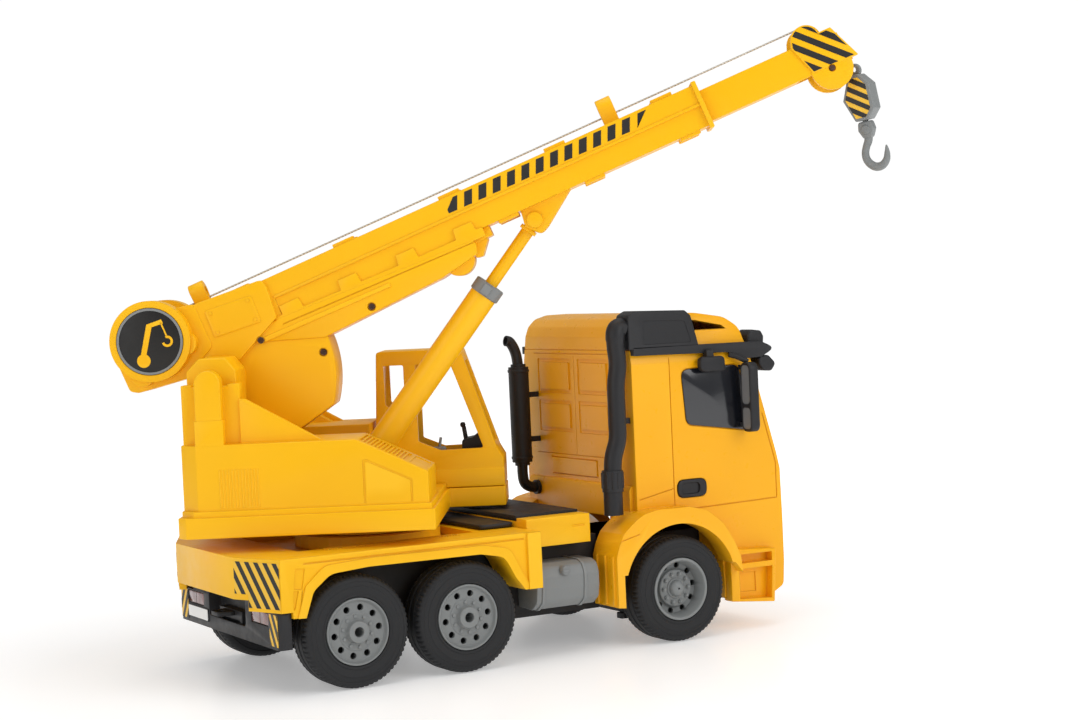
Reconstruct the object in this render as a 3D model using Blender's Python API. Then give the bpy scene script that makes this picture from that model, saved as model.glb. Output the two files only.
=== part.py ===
"""Toy crane truck: three-axle truck with a slewing upper deck, luffing telescopic boom and hoist.

Lengths in the functions are millimetres. Truck pieces are written from the ground under the
rear axle (x forward, y to the left, z up); the upper deck from its slewing axis on top of the
chassis deck (x along the boom); the boom from its pivot (x along the boom, z square to it).
"""

import math

import bmesh
import bpy
from mathutils import Vector

MM = 0.001

# Driving dimensions, mm
FLOOR_HEIGHT = 20.0        # underside of the chassis above the ground
SLEW_X = 40.0              # slewing axis ahead of the rear axle
DECK_TOP = 69.0            # chassis deck above the ground
AXLES = (0.0, 62.0, 192.5)  # rear, middle and front axle
WHEEL_RADIUS = 28.8
RIM_RADIUS = 17.0
TYRE_INNER = 50.8          # inner and outer side of a tyre from the centre line
TYRE_OUTER = 71.2
KINGPIN_Y = 44.0
ARM_LENGTH = 20.0          # steering arm from the kingpin to the tie rod
SWING = -31.0              # degrees, deck turned to the right
BOOM_ANGLE = 21.65         # degrees above level
PIVOT = (-70.5, 0.0, 86.5)  # boom pivot from the slewing axis on the deck
CYLINDER_PIN = (184.3, 9.1)  # rod pin on the boom
CYLINDER_FOOT = (-11.5, 20.0)  # where the cylinder points to in the well of the upper deck
HEAD_PIN = (359.1, 17.3)   # lower rope wheel at the boom head
HEAD_WHEEL = 9.5
BLOCK_EYE = (13.0, -0.9)   # eye of the hook block from that wheel, level and up
BLOCK_LEAN = 10.0          # degrees, block held off the boom head by its rope
BLOCK_TURN = -30.0
TOP_PIN = (353.6, 36.4)    # upper rope wheel
DRUM = (-25.7, 33.4)       # winch drum at the tail
GAP = 0.3

YELLOW = (0.88, 0.45, 0.005, 1.0)
CAB_YELLOW = (0.86, 0.37, 0.004, 1.0)
BLACK = (0.018, 0.018, 0.02, 1.0)
GREY = (0.30, 0.31, 0.31, 1.0)
RUBBER = (0.012, 0.012, 0.013, 1.0)


# ---------------------------------------------------------------- mesh helpers

def new_object(verts, faces, name="piece"):
    mesh = bpy.data.meshes.new(name)
    mesh.from_pydata([tuple(c * MM for c in v) for v in verts], [], faces)
    mesh.update()
    ob = bpy.data.objects.new(name, mesh)
    bpy.context.scene.collection.objects.link(ob)
    bm = bmesh.new()
    bm.from_mesh(mesh)
    bmesh.ops.recalc_face_normals(bm, faces=bm.faces)
    bm.to_mesh(mesh)
    bm.free()
    return ob


def prism(outline, lo, hi, axis="Z"):
    """Flat outline pushed from lo to hi along an axis."""
    def place(p, t):
        if axis == "X":
            return (t, p[0], p[1])
        if axis == "Y":
            return (p[0], t, p[1])
        return (p[0], p[1], t)
    n = len(outline)
    verts = [place(p, lo) for p in outline] + [place(p, hi) for p in outline]
    faces = [tuple(range(n))[::-1], tuple(range(n, 2 * n))]
    for i in range(n):
        j = (i + 1) % n
        faces.append((i, j, n + j, n + i))
    return new_object(verts, faces)


def box(x0, x1, y0, y1, z0, z1):
    return prism([(x0, y0), (x1, y0), (x1, y1), (x0, y1)], z0, z1)


def circle(cx, cy, radius, steps=24, start=0.0):
    out = []
    for i in range(steps):
        a = math.radians(start) + 2 * math.pi * i / steps
        out.append((cx + radius * math.cos(a), cy + radius * math.sin(a)))
    return out


def arc(cx, cy, radius, a0, a1, steps):
    out = []
    for i in range(steps + 1):
        a = math.radians(a0 + (a1 - a0) * i / steps)
        out.append((cx + radius * math.cos(a), cy + radius * math.sin(a)))
    return out


def rounded(points, radius, steps=3):
    """Outline with its corners turned into arcs; radius is one value or one for each corner."""
    out = []
    n = len(points)
    for i in range(n):
        r = radius[i] if isinstance(radius, (list, tuple)) else radius
        p = Vector(points[i])
        a = (Vector(points[i - 1]) - p)
        b = (Vector(points[(i + 1) % n]) - p)
        if r <= 0:
            out.append(tuple(p))
            continue
        half = a.angle(b) / 2
        cut = min(r / math.tan(half), a.length * 0.49, b.length * 0.49)
        start = p + a.normalized() * cut
        end = p + b.normalized() * cut
        for k in range(steps + 1):
            t = k / steps
            q = (1 - t) ** 2 * start + 2 * (1 - t) * t * p + t ** 2 * end
            out.append((q.x, q.y))
    return out


def outset(points, gap):
    """Outline moved outward by a gap all round."""
    turn = sum(a[0] * b[1] - b[0] * a[1] for a, b in zip(points, points[1:] + points[:1]))
    way = 1.0 if turn > 0 else -1.0
    out = []
    for i, point in enumerate(points):
        a = (Vector(point) - Vector(points[i - 1])).normalized()
        b = (Vector(points[(i + 1) % len(points)]) - Vector(point)).normalized()
        m = Vector((a.y + b.y, -a.x - b.x)).normalized()
        reach = gap / max(0.3, m.dot(Vector((a.y, -a.x))))
        moved = Vector(point) + m * reach * way
        out.append((moved.x, moved.y))
    return out


def rod(p, q, radius, steps=20):
    """Round bar between two points."""
    return sweep([p, q], radius, steps)


def sweep(path, radius, steps=12):
    """Round bar along a path; radius is one value or one for each point."""
    pts = [Vector(p) for p in path]
    n = len(pts)
    verts = []
    side = None
    for i, p in enumerate(pts):
        back = (p - pts[i - 1]).normalized() if i > 0 else None
        ahead = (pts[i + 1] - p).normalized() if i < n - 1 else None
        if back is None:
            run = ahead
        elif ahead is None:
            run = back
        else:
            run = (back + ahead).normalized()
        if side is None:
            helper = Vector((0, 0, 1)) if abs(run.z) < 0.9 else Vector((1, 0, 0))
            side = run.cross(helper).normalized()
        else:
            side = (side - run * side.dot(run)).normalized()
        other = run.cross(side)
        lead = ahead if ahead is not None else back
        stretch = 1.0 / max(0.5, run.dot(lead))
        turn = (back.cross(ahead)) if back is not None and ahead is not None else Vector((0, 0, 0))
        r = radius[i] if isinstance(radius, (list, tuple)) else radius
        for k in range(steps):
            a = 2 * math.pi * k / steps
            d = side * math.cos(a) + other * math.sin(a)
            if turn.length > 1e-6:
                outward = turn.cross(run).normalized()
                d = d + outward * d.dot(outward) * (stretch - 1.0)
            verts.append(tuple(p + d * r))
    faces = [tuple(range(steps))[::-1]]
    for i in range(n - 1):
        for k in range(steps):
            m = (k + 1) % steps
            faces.append((i * steps + k, i * steps + m, (i + 1) * steps + m, (i + 1) * steps + k))
    faces.append(tuple(range((n - 1) * steps, n * steps)))
    return new_object(verts, faces)


def lathe(profile, centre, axis="Y", steps=36):
    """Closed (radius, along) outline turned about an axis; no point may lie on the axis."""
    cx, cy, cz = centre
    verts = []
    for i in range(steps):
        a = 2 * math.pi * i / steps
        for r, t in profile:
            c = r * math.cos(a)
            s = r * math.sin(a)
            if axis == "Y":
                verts.append((cx + c, cy + t, cz + s))
            elif axis == "Z":
                verts.append((cx + c, cy + s, cz + t))
            else:
                verts.append((cx + t, cy + c, cz + s))
    n = len(profile)
    faces = []
    for i in range(steps):
        j = (i + 1) % steps
        for k in range(n):
            m = (k + 1) % n
            faces.append((i * n + k, i * n + m, j * n + m, j * n + k))
    return new_object(verts, faces)


def drop(ob):
    mesh = ob.data
    bpy.data.objects.remove(ob)
    bpy.data.meshes.remove(mesh)


def boolean(ob, others, operation):
    """Exact boolean; the other pieces are used up."""
    for other in others:
        mod = ob.modifiers.new("shape", "BOOLEAN")
        mod.operation = operation
        mod.solver = "EXACT"
        mod.object = other
        graph = bpy.context.evaluated_depsgraph_get()
        mesh = bpy.data.meshes.new_from_object(ob.evaluated_get(graph))
        ob.modifiers.clear()
        old = ob.data
        ob.data = mesh
        bpy.data.meshes.remove(old)
        drop(other)
    return ob


def fuse(ob, *others):
    return boolean(ob, others, "UNION")


def carve(ob, *others):
    return boolean(ob, others, "DIFFERENCE")


def common(ob, *others):
    return boolean(ob, others, "INTERSECT")


def tidy(ob):
    """Merge points closer than a few micrometres and drop the edges inside flat faces."""
    bm = bmesh.new()
    bm.from_mesh(ob.data)
    bmesh.ops.remove_doubles(bm, verts=bm.verts, dist=4e-6)
    bmesh.ops.dissolve_degenerate(bm, dist=1e-6, edges=bm.edges)
    bmesh.ops.dissolve_limit(bm, angle_limit=math.radians(0.05), verts=bm.verts, edges=bm.edges)
    bmesh.ops.triangulate(bm, faces=bm.faces)
    bm.to_mesh(ob.data)
    bm.free()


def shade(ob, angle):
    """Smooth faces, with edges sharper than the angle kept hard."""
    bm = bmesh.new()
    bm.from_mesh(ob.data)
    for face in bm.faces:
        face.smooth = True
    for edge in bm.edges:
        edge.smooth = len(edge.link_faces) == 2 and edge.calc_face_angle(0.0) < math.radians(angle)
    bm.to_mesh(ob.data)
    bm.free()


def finish(ob, name, frame, colour, roughness=0.4, metallic=0.0, angle=35.0):
    """Name the piece, hang it on its frame and give it its own material."""
    tidy(ob)
    shade(ob, angle)
    ob.name = name
    ob.data.name = name
    ob.parent = frame
    mat = bpy.data.materials.new(name + "_material")
    mat.use_nodes = True
    surface = mat.node_tree.nodes["Principled BSDF"]
    surface.inputs["Base Color"].default_value = colour
    surface.inputs["Roughness"].default_value = roughness
    surface.inputs["Metallic"].default_value = metallic
    ob.data.materials.clear()
    ob.data.materials.append(mat)
    return ob


def frame(name, parent, location, turn=(0.0, 0.0, 0.0)):
    """Empty that carries the pieces of one moving group; its origin lies on the joint axis."""
    ob = bpy.data.objects.new(name, None)
    bpy.context.scene.collection.objects.link(ob)
    ob.empty_display_size = 0.01
    ob.parent = parent
    ob.location = [c * MM for c in location]
    ob.rotation_euler = [math.radians(a) for a in turn]
    return ob


def plan_side(points, sign):
    """Outline in (x, y) pairs taken to the left (1) or the right (-1)."""
    return [(x, sign * y) for x, y in points]


def end_side(points, sign):
    """Outline in (y, z) pairs taken to the left (1) or the right (-1)."""
    return [(sign * y, z) for y, z in points]


def span(sign, a, b):
    """Low and high end of a range on one side of the centre line."""
    return (min(sign * a, sign * b), max(sign * a, sign * b))


# ---------------------------------------------------------------- chassis

def chassis_frame(truck):
    plan = [(-29.5, -44), (156, -44), (163, -36), (250, -36)]
    outline = plan + [(x, -y) for x, y in reversed(plan)]
    body = prism(outline, FLOOR_HEIGHT, 56.0)
    body = fuse(body, box(-29.5, 156, -44, 44, 50, 60.6))
    for s in (-1, 1):
        y0, y1 = span(s, 34, 49)
        body = fuse(body, box(186, 199, y0, y1, 20, 23), box(186, 199, y0, y1, 37, 40))
        body = carve(body, rod((192.5, s * KINGPIN_Y, 18), (192.5, s * KINGPIN_Y, 42), 2.4, 14))
    inner = [(-27, -41.5), (154, -41.5), (161, -33.5), (247, -33.5)]
    body = carve(body, prism(inner + [(x, -y) for x, y in reversed(inner)], 23.0, 62.0))
    for x in AXLES[:2]:
        body = carve(body, rod((x, -50, WHEEL_RADIUS), (x, 50, WHEEL_RADIUS), 3.4, 16))
    finish(body, "chassis_frame", truck, BLACK, 0.55)


def deck_body(truck):
    half = [(-53.5, -41), (-40.5, -72), (105.5, -72)]
    deck = prism(half + [(x, -y) for x, y in reversed(half)], 61.0, DECK_TOP)
    rear = prism([(-53.5, -41), (-50.5, -41), (-50.5, 41), (-53.5, 41)], 48.0, 62.0)
    deck = fuse(deck, rear)
    side = [(-40.5, 43.8), (-40.5, 68.0), (105.5, 68.0), (105.5, 39.5), (94, 39.5), (89, 46)]
    side += [(85, 53), (80, 57.6), (72, 60.2), (60, 61), (7, 61), (-7, 60), (-19, 56), (-24, 50),
             (-28.0, 39.1), (-34.5, 39.4), (-34.5, 42.6), (-37.5, 42.6)]
    flap = [(96.8, 39.5), (96.8, 68.6), (105.5, 68.6), (105.5, 39.5)]
    for s in (-1, 1):
        corner = [(-53.5, 41), (-40.5, 72), (-37, 72), (-37, 69), (-50, 38)]
        deck = fuse(deck, prism(plan_side(corner, s), 48.0, 62.0))
        low = [(-49.5, 50.5), (-40.5, 72), (-37, 72), (-37, 69), (-46, 48.5)]
        deck = fuse(deck, prism(plan_side(low, s), 42.6, 49.0))
        y0, y1 = span(s, 49.5, 72.0)
        deck = fuse(deck, prism(side, y0, y1, "Y"))
        y0, y1 = span(s, 70.0, 73.2)
        deck = fuse(deck, prism(flap, y0, y1, "Y"))
        panel = [(-27, 61.9), (-27, 65.2), (95.4, 65.2), (95.4, 61.9)]
        y0, y1 = span(s, 71.2, 74.0)
        deck = carve(deck, prism(panel, y0, y1, "Y"))
    deck = carve(deck, box(-20, 80, -46, 46, 64, 72))
    finish(deck, "deck_body", truck, YELLOW, 0.3)


def deck_bridge(truck):
    ob = box(106.0, 145.0, -57, 57, 61.0, 72.0)
    for s in (-1, 1):
        y0, y1 = span(s, 46, 57)
        ob = fuse(ob, box(106.0, 145.0, y0, y1, 58.5, 73.8))
    finish(ob, "deck_bridge", truck, YELLOW, 0.3)


def step_plates(truck):
    lower = prism(rounded([(85, -44.3), (105.4, -44.3), (105.4, 44.3), (85, 44.3)], 2), 69.3, 71.8)
    finish(lower, "step_plate_lower", truck, BLACK, 0.45)
    side = [(106.4, 72.3), (144.8, 72.3), (144.8, 74.6), (143.8, 75.3), (107.4, 75.3), (106.4, 74.6)]
    upper = prism(side, -44.5, 44.5, "Y")
    finish(upper, "step_plate_upper", truck, BLACK, 0.45)


def rear_bumper(truck):
    ob = box(-42, -34.9, -69.5, 69.5, 24.0, 42.2)
    ob = fuse(ob, box(-42, -30.3, -49.2, 49.2, 24.0, 42.2))
    ob = fuse(ob, box(-42, -30.3, -49.2, 49.2, 40.0, 47.6))
    ob = carve(ob, box(-44, -35.0, -26, 26, 31.0, 48.5))
    for s in (-1, 1):
        y0, y1 = span(s, 34.0, 57.0)
        ob = carve(ob, box(-43, -40.0, y0, y1, 34.7, 41.6))
    ob = fuse(ob, box(-40, -34.0, -16, 16, 24.0, 37.0))
    ob = fuse(ob, box(-42.6, -41.0, 27.9, 56.6, 27.5, 33.9))
    hitch = rounded([(-49, -5), (-42.3, -7), (-39.0, -7), (-39.0, 7), (-42.3, 7), (-49, 5)], 1.5)
    hitch = carve(prism(hitch, 34.4, 36.6), rod((-45.5, 0, 33), (-45.5, 0, 38), 1.8, 16))
    ob = fuse(ob, hitch)
    finish(ob, "rear_bumper", truck, BLACK, 0.5)
    for s, name in ((-1, "right"), (1, "left")):
        y0, y1 = span(s, 34.3, 56.7)
        lamp = box(-41.8, -40.3, y0, y1, 35.0, 41.3)
        finish(lamp, "tail_lamp_" + name, truck, (0.10, 0.008, 0.008, 1.0), 0.3)


def tank(truck, s, name):
    shape = [(44.4, 26.5), (60, 26.0), (64.6, 30), (66.0, 36), (66.0, 43.5), (64.0, 48.3), (60, 50),
             (44.4, 50)]
    body = prism(end_side(shape, s), 105.9, 144.0, "X")
    for x in (108.9, 134.5):
        hoop = [(44.4, 25.8), (60.2, 25.3), (65.2, 29.7), (66.6, 36), (66.6, 43.7), (64.5, 48.8),
                (60.2, 50.6), (44.4, 50.6)]
        body = fuse(body, prism(end_side(hoop, s), x, x + 1.6, "X"))
    body = fuse(body, rod((123.0, s * 60.0, 45.0), (123.0, s * 67.4, 45.0), 2.4, 16))
    finish(body, "fuel_tank_" + name, truck, GREY, 0.4)


# ---------------------------------------------------------------- wheels and axles

def tyre(parent, s, name):
    w0 = TYRE_INNER
    w1 = TYRE_OUTER
    r = WHEEL_RADIUS
    rim = RIM_RADIUS + GAP
    profile = [(rim, w0 + 0.6), (rim, w1 - 0.6), (24.0, w1), (27.9, w1 - 1.9), (r, w1 - 4.6)]
    profile += [(r, w0 + 4.6), (27.9, w0 + 1.9), (24.0, w0)]
    ob = lathe([(a, s * b) for a, b in profile], (0, 0, 0), "Y", 28)
    finish(ob, "tyre_" + name, parent, RUBBER, 0.8)


def rear_rim(parent, s, name):
    profile = [(3.3, 54.5), (3.3, 72.4), (5.8, 72.4), (6.1, 69.3), (15.3, 69.3), (15.8, 70.9),
               (17.0, 70.9)]
    profile += [(17.0, 51.6), (15.4, 51.6), (15.4, 67.2), (6.0, 67.2), (6.0, 54.5)]
    ob = lathe([(a, s * b) for a, b in profile], (0, 0, 0), "Y", 20)
    for x, z in bolt_circle(12.1, 10):
        ob = carve(ob, prism(circle(x, z, 1.7, 6, 11.0), *span(s, 66, 71), "Y"))
    finish(ob, "rim_" + name, parent, GREY, 0.45)


def front_rim(parent, s, name):
    profile = [(3.3, 54.5), (3.3, 61.8), (0.8, 61.8), (0.8, 68.8), (4.4, 68.0), (5.2, 65.4),
               (9.8, 65.2)]
    profile += [(10.2, 63.2), (14.2, 63.6), (15.7, 70.9), (17.0, 70.9), (17.0, 51.6), (15.6, 51.6),
                (15.2, 61.4)]
    profile += [(6.0, 61.2), (6.0, 54.5)]
    ob = lathe([(a, s * b) for a, b in profile], (0, 0, 0), "Y", 20)
    for x, z in bolt_circle(12.2, 10):
        ob = carve(ob, prism(circle(x, z, 1.5, 6, 11.0), *span(s, 59, 66), "Y"))
    finish(ob, "rim_" + name, parent, GREY, 0.45)


def bolt_circle(radius, count):
    """Hole centres round a wheel, kept clear of the facets' edges."""
    for i in range(count):
        a = 2 * math.pi * i / count + 0.11
        yield radius * math.cos(a), radius * math.sin(a)


def driven_axle(truck, x, name):
    hub = frame(name + "_axle_axis", truck, (x, 0, WHEEL_RADIUS))
    finish(rod((0, -61.2, 0), (0, 61.2, 0), 3.0, 16), name + "_axle", hub, (0.45, 0.45, 0.46, 1.0),
           0.35, 1.0)
    for s, side in ((-1, "right"), (1, "left")):
        tyre(hub, s, name + "_" + side)
        rear_rim(hub, s, name + "_" + side)


def steering(truck):
    x = AXLES[2]
    for s, side in ((-1, "right"), (1, "left")):
        pin = frame("kingpin_axis_" + side, truck, (x, s * KINGPIN_Y, 0))
        y0, y1 = span(s, -4.8, 4.8)
        ob = box(-4.5, 4.5, y0, y1, 23.3, 36.7)
        ob = fuse(ob, rod((0, 0, 14), (0, 0, 39.8), 2.0, 14))
        arm = rounded([(4, -3.2), (4, 3.2), (-ARM_LENGTH - 4, 3.2), (-ARM_LENGTH - 4, -3.2)], 1.5, 2)
        arm = prism(arm, 12.5, 15.5)
        arm = carve(arm, rod((-ARM_LENGTH, 0, 11), (-ARM_LENGTH, 0, 17), 2.4, 14))
        ob = fuse(ob, arm)
        stub = rod((0, s * 4, WHEEL_RADIUS), (0, s * 17.2, WHEEL_RADIUS), 3.0, 16)
        ob = fuse(ob, stub)
        finish(ob, "knuckle_" + side, pin, BLACK, 0.5)
        hub = frame("front_wheel_axis_" + side, pin, (0, -s * KINGPIN_Y, WHEEL_RADIUS))
        tyre(hub, s, "front_" + side)
        front_rim(hub, s, "front_" + side)
    x0 = x - ARM_LENGTH
    ob = prism(rounded([(x0 - 2.6, -47), (x0 + 2.6, -47), (x0 + 2.6, 47), (x0 - 2.6, 47)], 1.5, 2),
               15.9, 18.6)
    for s in (-1, 1):
        ob = fuse(ob, rod((x0, s * KINGPIN_Y, 12.9), (x0, s * KINGPIN_Y, 17), 1.5, 16))
    finish(ob, "tie_rod", truck, BLACK, 0.5)


# ---------------------------------------------------------------- driver's cab

CAB_SIDE = [(173.5, 62), (173.5, 167), (175, 172.5), (179, 176.8), (186, 179), (200, 179.2), (220, 178),
            (238, 175), (247, 169), (250, 158), (267, 97), (269, 88), (269.5, 60), (269.5, 36),
            (268.5, 22), (262, 18.5), (228, 18.5), (228, 62)]
WINDOW = [(205.5, 147.0), (242.6, 147.8), (254.8, 110.5), (208, 117.2)]
FRONT_SLOPE = ((250.0, 158.0), (267.0, 97.0))


def slab(p, q, t0, t1, offset, depth):
    """Side outline of a thin plate along the line p to q, between two fractions of it."""
    a = Vector(p)
    b = Vector(q)
    run = (b - a)
    out = Vector((-run.y, run.x)).normalized()
    c0 = a + run * t0
    c1 = a + run * t1
    pts = [c0 + out * offset, c1 + out * offset, c1 + out * (offset - depth),
           c0 + out * (offset - depth)]
    return [(v.x, v.y) for v in pts]


def cab_section():
    """Cross-section of the cab seen from behind, with rounded roof edges."""
    return rounded([(-60, 10), (60, 10), (60, 152), (54, 180.5), (-54, 180.5), (-60, 152)],
                   [0, 0, 10, 7, 7, 10], 3)


def cab_shell(truck):
    ob = prism(CAB_SIDE, -60, 60, "Y")
    ob = common(ob, prism(cab_section(), 160, 280, "X"))
    bulge = [(171.3, 66), (171.3, 83.5), (174.5, 86), (174.5, 66)]
    ob = fuse(ob, prism(bulge, -56, 56, "Y"))
    x = AXLES[2]
    for s in (-1, 1):
        rise = [(171.5, 72.0), (166.5, 69.6), (161.5, 66.1), (157, 62.1), (153.8, 55.8), (152, 50)]
        flare = [(152, 23), (156.5, 22.5), (156.5, 40), (228, 40), (233, 34), (232, 43), (228, 52)]
        flare += [(221.5, 62.1), (211.4, 70.2), (201.5, 72.6), (190, 73.3), (178.9, 73.3)] + rise
        ob = fuse(ob, prism(flare, *span(s, 58, 72), "Y"))
        block = [(152, 23), (156.5, 22.5), (156.5, 57), (174.5, 57), (174.5, 72.3)] + rise
        ob = fuse(ob, prism(block, *span(s, 47, 60), "Y"))
        y0, y1 = span(s, 58, 66)
        ob = fuse(ob, prism([(229.0, 17), (258.0, 14), (260.0, 44), (229.0, 46)], y0, y1, "Y"))
        y0, y1 = span(s, 60.5, 67)
        ob = carve(ob, prism([(234.5, 37.5), (257.0, 37.5), (257.0, 42.5), (234.5, 42.5)], y0, y1, "Y"))
        ob = carve(ob, prism([(234.5, 17.8), (256.0, 16.6), (257.0, 34.5), (234.5, 34.5)], y0, y1, "Y"))
        for k in range(3):
            y0, y1 = span(s, 50.4 + 8.3 * k, 52.6 + 8.3 * k)
            ob = fuse(ob, prism([(151.0, 24), (153, 24), (153, 51.6), (151.0, 49.6)], y0, y1, "Y"))
    cavity = [(176.5, 66), (176.5, 166), (181, 174), (200, 176), (219, 174), (236, 170.5), (243, 165),
              (247, 157), (264, 96), (266, 66)]
    ob = carve(ob, prism(cavity, -56.5, 56.5, "Y"))
    ob = carve(ob, box(130, 251, -36.8, 36.8, 5, 68))
    for s in (-1, 1):
        y0, y1 = span(s, 30.0, 80.0)
        ob = carve(ob, prism(circle(x, WHEEL_RADIUS, 35.8, 32, 3), y0, y1, "Y"))
        y0, y1 = span(s, 30.0, 80.0)
        ob = carve(ob, box(x - 35.8, x + 35.8, y0, y1, 5, WHEEL_RADIUS))
        y0, y1 = span(s, 59.2, 62)
        hole = [(204.8, 147.7), (243.2, 148.5), (255.7, 109.8), (207.2, 116.6)]
        ob = carve(ob, prism(rounded(hole, 4), y0, y1, "Y"))
        y0, y1 = span(s, 59.0, 60.7)
        ob = fuse(ob, prism(rounded([(200, 77), (218.8, 77), (218.8, 86.6), (200, 86.6)], 3), y0, y1,
                            "Y"))
    glass = slab(*FRONT_SLOPE, 0.14, 0.94, 2.0, 2.8)
    ob = carve(ob, prism(glass, -53.3, 53.3, "Y"))
    for y0, y1 in ((-36, -2), (5, 44)):
        ob = carve(ob, box(172, 174.1, y0, y1, 134.5, 155), box(172, 174.1, y0, y1, 112, 131.5))
    ob = carve(ob, box(172, 174.1, -20, 31, 88.5, 97.5))
    ob = carve(ob, box(268.8, 271, -34, 34, 50, 86))
    for s in (-1, 1):
        y0, y1 = span(s, 40, 57)
        ob = carve(ob, box(268.4, 272, y0, y1, 26.5, 38.5))
    y0, y1 = -63.0, -49.7
    ob = carve(ob, prism([(170, 159.7), (216.9, 159.7), (212.3, 182), (170, 182)], y0, y1, "Y"))
    finish(ob, "cab_shell", truck, CAB_YELLOW, 0.3)


def cab_glass(truck):
    for s, side in ((-1, "right"), (1, "left")):
        y0, y1 = span(s, 59.5, 60.3)
        ob = prism(rounded(WINDOW, 3.6), y0, y1, "Y")
        finish(ob, "side_window_" + side, truck, (0.01, 0.011, 0.014, 1.0), 0.15)
        y0, y1 = span(s, 40.3, 56.7)
        ob = box(268.8, 270.4, y0, y1, 26.8, 38.2)
        finish(ob, "headlight_" + side, truck, (0.7, 0.72, 0.75, 1.0), 0.1)
    glass = slab(*FRONT_SLOPE, 0.148, 0.932, 0.5, 1.0)
    finish(prism(glass, -53, 53, "Y"), "windscreen", truck, (0.01, 0.011, 0.014, 1.0), 0.12)
    grille = box(269.2, 270.6, -33.7, 33.7, 50.3, 85.7)
    for k in range(4):
        grille = carve(grille, box(269.9, 272, -31, 31, 54 + 8 * k, 57 + 8 * k))
    finish(grille, "radiator_grille", truck, BLACK, 0.5)


def cab_dress(truck):
    side = [(171.2, 160.0), (216.4, 160.0), (211.8, 177.4), (208, 180), (176, 181.2), (171.2, 179)]
    ob = prism(side, -62.4, -50.0, "Y")
    finish(ob, "air_intake_box", truck, BLACK, 0.45)
    visor = [(174, 155.8), (236, 153.4), (243, 150.5), (262, 151.3), (269.8, 156.5), (262, 160.3),
             (174, 159.4)]
    ob = prism(visor, -62.4, 62.4, "Y")
    inner = prism(outset([(173.5, 140)] + CAB_SIDE[1:10] + [(255.02, 140)], GAP), -70, 70, "Y")
    inner = common(inner, prism(outset(cab_section(), GAP), 150, 290, "X"))
    ob = carve(ob, inner)
    for s in (-1, 1):
        y0, y1 = span(s, 50.0, 61.4)
        lamp = [(251.0, 157.5), (259.8, 157.5), (260.8, 164.6), (251.6, 168.0)]
        ob = fuse(ob, prism(lamp, y0, y1, "Y"))
        wide = rounded([(215.5, 145.4), (231.0, 145.4), (231.0, 153.8), (215.5, 153.8)], 3, 2)
        ob = fuse(ob, prism(wide, *span(s, 62.0, 66.2), "Y"))
        y0, y1 = span(s, 60.9, 64.5)
        ob = fuse(ob, box(220.0, 225.0, y0, y1, 151.8, 156.5))
    finish(ob, "sun_visor", truck, BLACK, 0.45)
    path = [(168.5, -57, 171.5), (166, -57.3, 171.3), (164.6, -57.8, 166), (164.9, -58, 152),
            (163.6, -58, 140),
            (163.2, -58, 112), (159.6, -58, 101), (159.3, -58, 72)]
    radii = [4.4, 5.0, 5.0, 5.0, 4.9, 4.9, 4.9, 4.9]
    ob = sweep(path, radii, 12)
    ob = fuse(ob, rod((159.3, -58, 71.4), (159.3, -58, 94), 5.7, 12))
    ob = fuse(ob, rod((167.4, -57, 171.5), (170.9, -57, 171.5), 4.7, 12))
    ob = fuse(ob, box(161, 173.2, -57, -54, 120, 123))
    finish(ob, "intake_snorkel", truck, BLACK, 0.45)
    stack = [(154.8, 45, 165), (157.5, 45, 163.5), (160.4, 45, 158), (161.2, 45, 149)]
    ob = sweep(stack, 2.9, 12)
    ob = fuse(ob, rod((161.2, 45, 95.4), (161.2, 45, 149.4), 5.9, 18))
    low = [(161.2, 45, 96), (161.0, 45, 86), (162.2, 45, 81), (165.5, 45, 79.2), (171.0, 45, 79.2)]
    ob = fuse(ob, sweep(low, 2.9, 12))
    ob = fuse(ob, box(163, 173.2, 43.5, 46.5, 106, 109), box(163, 173.2, 43.5, 46.5, 132, 135))
    finish(ob, "exhaust_stack", truck, BLACK, 0.45)
    for s, side in ((-1, "right"), (1, "left")):
        y0, y1 = span(s, 63.5, 72.8)
        ob = prism(rounded([(y0, 111), (y1, 111), (y1, 149), (y0, 149)], 3, 2), 242.5, 246.5, "X")
        y0, y1 = span(s, 60.7, 66.0)
        ob = fuse(ob, box(243.0, 245.6, y0, y1, 113.0, 115.6), box(243.0, 245.6, y0, y1, 145.2, 147.8))
        finish(ob, "main_mirror_" + side, truck, BLACK, 0.4)


# ---------------------------------------------------------------- upper deck

def slew_ring(truck):
    ob = lathe([(14, 64.3), (39, 64.3), (39, 71.2), (14, 71.2)], (SLEW_X, 0, 0), "Z", 32)
    finish(ob, "slew_ring", truck, YELLOW, 0.35)


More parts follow.
